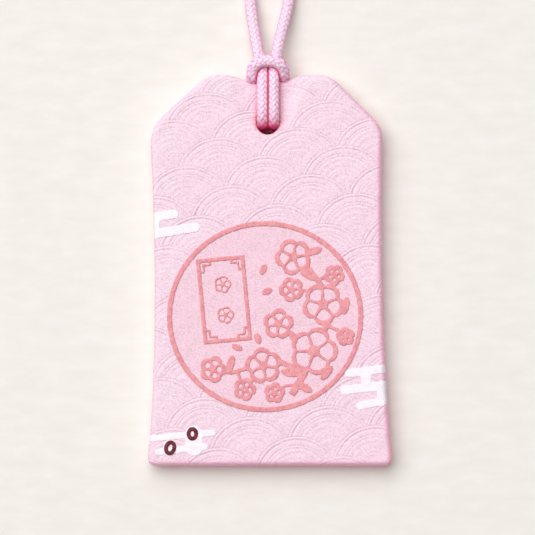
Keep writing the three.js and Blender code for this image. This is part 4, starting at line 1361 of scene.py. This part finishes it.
@dataclass
class BraidedCord:
    """Round cord of sixteen flat strands, braided two over and two under, with a core."""

    diameter: float = 2.28
    carriers: int = 8
    lay: float = 8.4
    strand_width: float = 0.76
    strand_thickness: float = 0.3
    weave_depth: float = 0.1
    sides: int = 8
    core_radius: float = 0.74
    phase: float = 0.5
    # Painted shade on the strands at the sides of the lying cord, which face away from the light above
    flank_shade: float = 0.24
    flank_shade_limits: Pair = (0.2, 0.8)
    edge_shade: float = 0.45
    under_shade: float = 0.3
    under_limit: float = -0.1
    # Turns between the strands' UV maps, so that no two show the same filaments
    tube_turn: float = 3.7

    def piece(self, name: str, route: Points, frames: Frames, begin: float = 0.0) -> Piece:
        """Braids one stretch of cord.

        Args:
            name: The piece's name.
            route: Evenly spaced points on the centreline.
            frames: Two directions across the route at each point.
            begin: Length of cord before the stretch, so that neighbouring stretches match.

        Returns:
            The cord as one mesh.
        """
        run = begin + np.concatenate([[0], np.cumsum(np.linalg.norm(np.diff(route, axis=0), axis=1))])
        ring = np.linspace(0, math.tau, self.sides, endpoint=False)
        under = self.under_shade * (np.sin(ring) < self.under_limit)
        edge = self.edge_shade * np.abs(np.cos(ring)) ** 3 + under
        points: list[Points] = []
        lifts: list[Points] = []
        halves = self.strand_width / 2, self.strand_thickness / 2
        for index in range(2 * self.carriers):
            centre, out, lift = self._strand(index % self.carriers, index < self.carriers, route, frames, run)
            way = unit(np.gradient(centre, axis=0))
            wide = unit(np.cross(way, out))
            points.append(tube_points(centre, wide, np.cross(wide, way), *halves, self.sides))
            # Painted shade on the strands at the cord's sides
            lift = lift * (1 - self.flank_shade * (1 - smoothstep(*self.flank_shade_limits, np.abs(out[:, 2]))))
            lifts.append((lift[:, None] - edge).ravel())
        points.append(tube_points(route, *frames, self.core_radius, self.core_radius, self.sides))
        lifts.append(np.zeros(len(points[-1])))
        starts = range(0, len(points) * len(points[0]), len(points[0]))
        faces = [face for start in starts for face in tube_faces(start, len(route), self.sides)]
        piece = mesh_piece(name, np.vstack(points), faces)
        set_attribute(piece, "lift", np.clip(np.concatenate(lifts), 0, 1))
        self._unwrap(piece, run)
        activate(piece)
        bpy.ops.object.shade_smooth()
        return piece

    def _strand(
        self, index: int, forward: bool, route: Points, frames: Frames, run: Points
    ) -> tuple[Points, Points, Points]:
        """Centreline, outward direction and lift (0 under, 1 over) of one strand."""
        count = 2 * self.carriers
        along = count * run / self.lay
        crossing = 2 * index + along if forward else 2 * index - along
        angle = math.pi / self.carriers * (crossing - self.phase)
        wave = np.cos(math.pi / 2 * (crossing - (0.5 if forward else 2.5)))
        flat = wave * (1.5 - 0.5 * wave**2)
        top = self.diameter / 2 - self.strand_thickness / 2
        radius = top - self.weave_depth * (1 - flat)
        way = frames[0] * np.cos(angle)[:, None] + frames[1] * np.sin(angle)[:, None]
        return route + way * radius[:, None], way, (flat + 1) / 2

    def _unwrap(self, piece: Piece, run: Points) -> None:
        """Writes each strand's length and turn as its UV map."""
        layer = piece.data.uv_layers.new(name="strand")
        corner = read(piece.data.loops, "vertex_index", kind=int)
        ring = corner // self.sides
        turn = corner % self.sides / self.sides + self.tube_turn * (ring // len(run))
        values = np.stack([run[ring % len(run)], turn], 1)
        layer.data.foreach_set("uv", values.astype(np.float32).ravel())

    def runs(self, piece: Piece, count: int, first: int, step: float) -> Points:
        """Length of cord before each point of a stretch."""
        return np.tile(np.repeat((first + np.arange(count)) * step, self.sides), 2 * self.carriers + 1)


@dataclass
class CordRoute:
    """The whole cord's centreline: left free strand, hitch and right free strand, as one route."""

    diameter: float = 2.1
    seat: float = 0.15
    shift: float = 0.07
    strand_pitch: float = 2.08
    leg_pitch: float = 6.08
    arch_height: float = 77.45
    arch_lift: float = 0.3
    mouth_height: float = 73.12
    left_drop: float = 0.4
    web_level: float = 3.325
    web: float = 2.05
    channel: float = 2.3
    turn_height: float = 67.5
    left: tuple[Place, ...] = (
        (-2.14, 78.95, 3.6), (-2.42, 80.4, 3.3), (-2.8, 82.4, 2.92), (-3.15, 84.6, 2.5), (-3.45, 86.8, 2.1),
        (-3.72, 89.2, 1.7), (-3.95, 93, 1.25), (-4.15, 98, 1.1), (-4.2, 103, 1.1), (-4.0, 108, 1.1),
        (-3.5, 113, 1.15), (-2.75, 117.3, 1.45), (-2.0, 120.4, 2.1), (-1.4, 122.7, 2.9),
    )
    right: tuple[Place, ...] = (
        (1.32, 78.95, 3.6), (1.6, 80.4, 3.3), (2.05, 82.4, 2.92), (2.6, 84.6, 2.5), (3.15, 86.8, 2.1),
        (3.62, 89.2, 1.7), (3.95, 93, 1.25), (4.2, 98, 1.1), (4.25, 103, 1.1), (4.05, 108, 1.1),
        (3.55, 113, 1.15), (2.8, 117.3, 1.45), (2.05, 120.4, 2.1), (1.4, 122.7, 2.9),
    )

    def hitch_side(self, sign: int) -> tuple[list[Place], list[Place], list[Place], Place]:
        """Places of half the hitch: front lay, turn through the hole, back lay with the leg, and crown."""
        radius = self.diameter / 2
        near, far = sign * self.strand_pitch / 2, sign * self.leg_pitch / 2
        turn_radius = self.web / 2 + self.seat + radius
        front_lay, back_lay = self.web_level + turn_radius, self.web_level - turn_radius
        under = front_lay - 1.6 * radius
        over = under + self.diameter + self.arch_lift
        reach = radius + 1.4 * self.seat

        def at(x: float, height: float, level: float) -> Place:
            return FORM.hole_x + self.shift + x, height, level

        front = [
            at(near * 1.25, self.arch_height, under),
            at(near * 1.02, self.arch_height - 1.6 * radius, under + 0.75 * radius),
            at(near, self.arch_height - 3.4 * radius, front_lay - 0.12 * radius),
            at(near, self.mouth_height - self.diameter, front_lay),
        ]
        angles = [math.pi / 2 + step / 6 * math.pi for step in range(7)]
        turn = [
            at(near, self.turn_height + turn_radius * math.cos(a), self.web_level + turn_radius * math.sin(a))
            for a in angles
        ]
        mouth = self.mouth_height - (self.left_drop if sign < 0 else 0.0)
        edge = [
            at(far, mouth + reach * math.cos(a), self.channel + reach * math.sin(a))
            for a in (math.radians(degrees) for degrees in (-75, -50, -25, 0))
        ]
        back = [
            at(near + 0.4 * (far - near), self.turn_height + 0.75 * self.diameter, back_lay),
            at(near + 0.8 * (far - near), self.turn_height + 1.55 * self.diameter, back_lay),
            at(far * 0.98, mouth - 0.5 * reach, back_lay),
            *edge,
            at(far, mouth + 1.15 * reach, self.channel + 0.9 * reach),
            at(far, mouth + 1.45 * reach, self.channel + 1.85 * reach),
            at(far * 0.96, self.arch_height - 1.4 * radius, over - 0.75 * radius),
            at(far * 0.8, self.arch_height - 0.72 * radius, over - 0.2 * radius),
            at(far * 0.45, self.arch_height - 0.12 * radius, over),
        ]
        return front, turn, back, at(0.0, self.arch_height, over)

    def whole(self, step: float) -> Points:
        """Evenly spaced points from the left strand's knot end round the hitch to the right one's."""
        left_front, left_turn, left_back, crown = self.hitch_side(-1)
        right_front, right_turn, right_back, _ = self.hitch_side(1)
        places = [
            *reversed(self.left), *left_front, *left_turn, *left_back, crown,
            *reversed(right_back), *reversed(right_turn), *reversed(right_front), *self.right,
        ]
        return along_curve(places, step)


@dataclass
class CordAssembly:
    """The cord: hitch on the pouch, necks and strands over the joints, and the end knot."""

    route: CordRoute = field(default_factory=CordRoute)
    braid: BraidedCord = field(default_factory=BraidedCord)
    step: float = 0.21
    neck_start: float = 78.95
    neck_end: float = 88.2
    loop_end: float = 97.0
    pivot: Pair = (-0.4, 2.0)
    path_step: int = 4
    knot_height: float = 126.3
    knot_level: float = 3.4
    knot_radius: float = 2.22
    knot_turns: float = 2.6
    knot_rise: float = 4.5
    knot_phase: float = 0.6
    knot_points: int = 90
    # The coil's two ends run on past its last turn, and are tucked in by a share of its radius
    knot_run_out: float = 0.09
    knot_turn_out: float = 0.06
    knot_tuck: float = 0.75
    tail: tuple[Place, ...] = (
        (1.4, 122.5, 2.95), (1.15, 124.0, 3.2), (0.98, 126.3, 3.4), (1.1, 128.6, 3.4), (1.55, 131.0, 3.1),
        (1.95, 133.2, 2.75), (2.15, 134.4, 2.55),
    )
    # Shade where the cord lies against itself or the cloth
    own_reach: float = 2.2
    touch_reach: float = 0.42
    cloth_touch: Pair = (0.65, 0.5)
    cloth_top: float = 0.6
    cloth_level: float = 3.0
    cloth_half: float = 2.35
    # Shade where it dives into the hole: strengths and heights
    dives: tuple[Place, ...] = ((0.82, 64.5, 66.4), (0.18, 65.8, 69.4))
    dive_half: float = 2.6
    pit_limits: Pair = (63.9, 65.3)
    pit_hidden: float = 0.6
    pit_most: float = 0.85
    hidden_level: float = 3.2
    # Painted shade on the stretch hidden behind the pouch, below a level and a height
    hidden_height: float = 73.0

    def build(self, material: bpy.types.Material) -> list[Piece]:
        """Makes and places every stretch of the cord."""
        line = self.route.whole(self.step)
        frames = carried_frames(line, UP)
        middle = len(line) // 2

        def cuts(start: int, part: Points, *heights: float) -> list[int]:
            return [start + int(np.argmin(np.abs(part[:, 1] - height))) for height in heights]

        left = cuts(0, line[:middle], self.neck_end, self.neck_start)
        right = cuts(middle, line[middle:], self.neck_start, self.neck_end)
        ends = [0, *left, *right, len(line) - 1]
        names = ("strand_left", "neck_left", "hitch", "neck_right", "strand_right")
        stretches = dict(zip(names, zip(ends, ends[1:])))
        made = {}
        for name, (first, last) in stretches.items():
            part = slice(first, last + 1)
            sides = frames[0][part], frames[1][part]
            piece = self.braid.piece("braid_" + name, line[part], sides, first * self.step)
            self._shade(piece, line, first, last + 1 - first)
            dress(piece, material)
            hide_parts("cord_" + name)
            made[name] = piece
        knot = self._knot(material)
        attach(made["hitch"], "pouch")
        for side in ("left", "right"):
            self._bend(made["neck_" + side], self.neck_start, self.neck_end)
            self._bend(made["strand_" + side], self.neck_end, self.loop_end)
            first, last = stretches["strand_" + side]
            path = line[first : last + 1]
            self._declare(made["strand_" + side], path[::-1] if side == "left" else path)
        return [*made.values(), knot]

    def _bend(self, piece: Piece, low: float, high: float) -> None:
        """Bakes a stretch's placement into its mesh."""
        x, level = self.pivot
        point_in_frame(x, low, level)
        point_in_frame(x, high, level)
        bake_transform(piece)

    def _shade(self, piece: Piece, line: Points, begin: int, count: int) -> None:
        """Paints shade where the cord lies against itself or the cloth, where it dives into the hole, and on
        its stretch hidden behind the pouch.
        """
        points = on_charm(piece)
        own = self.braid.runs(piece, count, begin, self.step)
        runs = np.arange(len(line)) * self.step
        gap = np.full(len(points), np.inf)
        for first in range(0, len(points), ROWS):
            part = slice(first, first + ROWS)
            reach = np.linalg.norm(points[part, None] - line[None, ::2], axis=2)
            reach[np.abs(own[part, None] - runs[None, ::2]) < self.own_reach * self.braid.diameter] = np.inf
            gap[part] = reach.min(1) - self.braid.diameter / 2
        x, height, level = points.T
        away = np.abs(x - FORM.hole_x)
        over_cloth = (height < FORM.height - self.cloth_top) & (level > self.cloth_level)
        cloth = FORM.face_level - FORM.dent_depth
        cloth_gap = np.where(over_cloth & (away < self.cloth_half), level - cloth, np.inf)
        strength, reach = self.cloth_touch
        on_cloth = strength * (1 - np.clip(cloth_gap, 0, None) / reach)
        touch = np.maximum(1 - np.clip(gap, 0, None) / self.touch_reach, on_cloth)
        down = fades(self.dives, height) * (away < self.dive_half)
        # Painted shade, dark, on the stretch hidden behind the pouch
        hidden = (level < self.hidden_level) & (height < self.hidden_height)
        set_attribute(piece, "contact", np.clip(np.maximum.reduce([touch, down, hidden * 1.0]), 0, 1))
        pit = down * (1 - smoothstep(*self.pit_limits, height)) + self.pit_hidden * hidden
        set_attribute(piece, "pit", np.clip(pit, 0, self.pit_most))

    def _declare(self, strand: Piece, path: Points) -> None:
        step = self.path_step
        whole = (len(path) - 1) % step == 0
        points = to_frame(path[::step] if whole else np.vstack([path[::step], path[-1:]]))

    def _knot(self, material: bpy.types.Material) -> Piece:
        """The end knot: turns of cord drawn tight round the two strands, with their two tails."""
        share = np.linspace(-self.knot_run_out, 1 + self.knot_run_out, self.knot_points)
        turn = self.knot_turns * np.clip(share, -self.knot_turn_out, 1 + self.knot_turn_out)
        angle = math.tau * turn + self.knot_phase
        ends = smoothstep(1.0, 1 + self.knot_run_out, share) + smoothstep(0.0, -self.knot_run_out, share)
        radius = self.knot_radius * (1 - self.knot_tuck * ends)
        rise = self.knot_rise * (np.clip(share, 0, 1) - 0.5)
        coil = np.stack([radius * np.cos(angle), rise, radius * np.sin(angle)], 1)
        coil += (0.0, self.knot_height, self.knot_level)
        tails = [[(side * x, height, level) for x, height, level in self.tail] for side in (-1, 1)]
        parts = []
        for places, start in ((coil, (0.0, 1.0, 0.0)), (tails[0], UP), (tails[1], UP)):
            line = along_curve(places, self.step)
            parts.append(self.braid.piece("knot_part", line, carried_frames(line, start)))
        knot = join("braid_end_knot", parts)
        dress(knot, material)
        return hand_over(knot, "cord_knot", "braided_cord", "cord_loop")


# Sewing threads and paper core


@dataclass
class SeamThreads:
    """Running stitches inside the rolled edge, as twisted two-ply thread."""

    radius: float = 0.12
    twist: float = 1.1
    ply_radius: float = 0.11
    step: float = 0.4
    sides: int = 6
    # Points of the CAD thread that make one place of the route, and the fewest places
    group: int = 30
    fewest: int = 6

    def build(self, material: bpy.types.Material) -> list[Piece]:
        """Makes one thread for each CAD thread, inside that node's own box."""
        nodes = [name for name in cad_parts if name.endswith("seam_thread") or "_seam_thread_" in name]
        return [self._thread(node, material) for node in sorted(nodes)]

    def _thread(self, node: str, material: bpy.types.Material) -> Piece:
        """One twisted thread along the middle line of its CAD node."""
        points = on_charm(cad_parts[node])
        across = 0 if node.startswith("base") or "shoulder" in node else 1
        order = np.argsort(points[:, across])
        groups = np.array_split(points[order], max(len(points) // self.group, self.fewest))
        line = along_curve([tuple(group.mean(0)) for group in groups], self.step)
        turn = math.tau * np.arange(len(line))[:, None] * self.step / self.twist
        side, up = carried_frames(line, UP)
        turns = (turn, turn + math.pi)
        out = [(side * np.cos(angle) + up * np.sin(angle)) * self.ply_radius for angle in turns]
        piece = join(node + "_twisted", [self._ply(node, line + away) for away in out])
        dress(piece, material)
        activate(piece)
        bpy.ops.object.shade_smooth()
        return hand_over(piece, node, "sewing_thread")

    def _ply(self, node: str, line: Points) -> Piece:
        """A plain round tube along a line."""
        points = tube_points(line, *carried_frames(line, UP), self.radius, self.radius, self.sides)
        return mesh_piece(node + "_ply", points, tube_faces(0, len(line), self.sides))


def dress_core() -> None:
    """Gives the card, the sleeve and the tablet their own materials; their CAD shapes stay."""
    stocks = {
        "folded_card": PlainStock("uncoated_card", "#ebe4d5", "#e0d7c4", (0.5, 0.5, 0.5)),
        "paper_sleeve": PlainStock("handmade_paper", "#fcfaf3", "#efe9dc", (0.4, 2.5, 0.4)),
        "prayer_tablet": PlainStock("planed_softwood", "#e2cba4", "#cfae7d", (0.8, 14.0, 0.8), 0.65),
    }
    for node, stock in stocks.items():
        dress(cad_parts[node], stock.build())
        log.info("dressed %s", node)


# Stage


FLOOR = PlainStock(
    "pale_paper_floor", "#f1efe8", "#ebe9e0", (6.25, 1000 / 420, 1000.0), roughness=0.9, shine=0.1,
    fibres=(1.0, 5.0, 0.55), levels=(0.3, 0.7), bump=(0.05, 0.4),
)


@dataclass
class Studio:
    """Floor, soft light and the camera straight above, as in the photograph. Lamp and floor are in metres."""

    frame_width: float = 102.5
    view_x: float = -0.44
    view_height: float = 38.03
    view_level: float = 3.8
    lens: float = 200.0
    sensor: float = 36.0
    clip: Pair = (0.01, 10.0)
    floor_size: float = 6.0
    floor_level: float = -0.00003
    backdrop_colour: str = "#f5f3ec"
    key_size: Pair = (3.2, 2.8)
    key_place: Place = (-0.86, 1.16, 2.35)
    key_energy: float = 101.5
    key_tint: Place = (0.98, 0.985, 1.01)
    fill_colour: str = "#fff5ef"
    fill_strength: float = 0.24

    def build(self) -> None:
        """Makes floor, light, world and camera, and shows colours as they are written."""
        bpy.context.scene.view_settings.view_transform = "Standard"
        plane = bpy.ops.mesh.primitive_plane_add
        floor = primitive(plane, "studio_floor", size=self.floor_size, location=(0.0, 0.0, self.floor_level))
        dress(floor, FLOOR.build())
        self._light()
        self._world()
        self._camera()

    def _camera(self) -> None:
        """The camera straight above."""
        data = bpy.data.cameras.new("photo_camera")
        data.lens, data.sensor_width = self.lens, self.sensor
        data.clip_start, data.clip_end = self.clip
        camera = link("photo_camera", data)
        distance = self.frame_width * self.lens / self.sensor
        camera.location = point_in_frame(self.view_x, self.view_height, self.view_level + distance)
        bpy.context.scene.camera = camera

    def _light(self) -> None:
        """One wide softbox above the charm's left shoulder."""
        key = bpy.data.lights.new("window_softbox", "AREA")
        key.shape = "RECTANGLE"
        key.size, key.size_y = self.key_size
        key.energy, key.color = self.key_energy, self.key_tint
        lamp = link("window_softbox", key)
        lamp.visible_camera = False
        lamp.location = self.key_place
        lamp.rotation_mode = "QUATERNION"
        lamp.rotation_quaternion = (-lamp.location).to_track_quat("-Z", "Y")

    def _world(self) -> None:
        """A faint fill for the light, and the floor's tone for what the camera and mirrors see."""
        world = bpy.data.worlds.new("studio_world")
        bpy.context.scene.world = world
        world.use_nodes = True
        nodes = Nodes(world.node_tree)
        rays = nodes.add("LightPath").node.outputs
        seen = nodes.maths("MAXIMUM", rays["Is Camera Ray"], rays["Is Glossy Ray"])
        seen = nodes.maths("MAXIMUM", seen, rays["Is Transmission Ray"])
        fill = nodes.add("Background", {"Color": self.fill_colour, "Strength": self.fill_strength})
        backdrop = nodes.add("Background", {"Color": self.backdrop_colour, "Strength": 1.0})
        nodes.add("OutputWorld", {"Surface": nodes.add("MixShader", {0: seen, 1: fill, 2: backdrop})})


# The charm


@dataclass
class FrontFigures:
    """All woven and stitched figures of the front face."""

    coral_nodes: tuple[str, ...] = (
        "medallion_ring", "cartouche_frame", "cartouche_blossom_lower", "cartouche_blossom_upper",
        "blossom_spray", "loose_petal_1", "loose_petal_2", "loose_petal_3", "loose_petal_4",
    )

    def build(self) -> Iterable[Piece]:
        """Makes every figure, one at a time."""
        coral, mist = CORAL.build(), MIST.build()
        for node in self.coral_nodes:
            yield WovenFigure(node, "coral_thread").build(coral)
        bands = {
            "mist_band_left": (
                ((-24.0, 47.4), (-18.3, 48.2), 1.72), ((-24.0, 44.1), (-14.25, 45.7), 1.8),
                ((-21.9, 47.7), (-21.9, 44.5), 1.7),
            ),
            "mist_band_right": (
                ((15.2, 17.8), (24.0, 18.9), 1.63), ((14.3, 14.55), (24.0, 15.7), 1.72),
                ((17.3, 11.6), (24.0, 12.9), 1.5), ((18.45, 18.2), (18.45, 15.1), 1.9),
                ((21.5, 15.4), (21.5, 12.5), 1.95),
            ),
            "mist_band_base": (
                ((-24.0, 5.2), (-10.9, 6.4), 1.25), ((-21.4, 2.7), (-12.4, 3.75), 1.25),
                ((-14.45, 6.0), (-14.45, 3.6), 3.3),
            ),
        }
        for node, bars in bands.items():
            yield MistBand(node, "mist_thread", height=0.12, sink=0.05, bars=bars).build(mist)
        thread, underlay = OVAL.build(), HALO.build()
        yield OvalRing("oval_ring_left", (-19.05, 3.55), 1.16, 1.45, -0.26).build(thread, underlay)
        yield OvalRing("oval_ring_right", (-14.8, 6.23), 1.11, 1.31, 0.0).build(thread, underlay)


def main() -> None:
    """Builds the charm in order: stage, cord, cloth, figures, threads and core."""
    logging.basicConfig(level=logging.INFO, format="%(message)s")
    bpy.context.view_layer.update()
    Studio().build()
    for piece in CordAssembly().build(BraidYarn().build()):
        log.info("cord piece %s: %d faces", piece.name, len(piece.data.polygons))
    front_cloth = Jacquard("pale_pink_jacquard").build()
    back_cloth = Jacquard("pale_pink_jacquard_back", has_medallion=False, ground="#f4d8e4").build()
    front_step = FRONT_STEP
    for piece in (
        ClothPanel(Panel.FRONT, front_step).build(front_cloth, "front_brocade_cloth"),
        ClothPanel(Panel.BACK, BACK_STEP).build(back_cloth, "back_brocade_cloth"),
    ):
        log.info("cloth %s: %d faces", piece.name, len(piece.data.polygons))
    lining = PlainStock("fused_interlining", "#f9f6f1", "#ece6dc", (0.3, 0.3, 0.3)).build()
    for panel in Panel:
        node = panel.value.replace("panel", "interlining")
        log.info("stiffening %s", Interlining(panel).build(lining, node).name)
    for piece in FrontFigures().build():
        log.info("figure %s: %d faces", piece.name, len(piece.data.polygons))
    thread = PlainStock("spun_polyester_thread", "#efc0d2", "#e0a3bb", (0.15,) * 3, 0.6).build()
    for piece in SeamThreads().build(thread):
        log.info("thread %s", piece.name)
    dress_core()


if __name__ == "__main__":
    main()
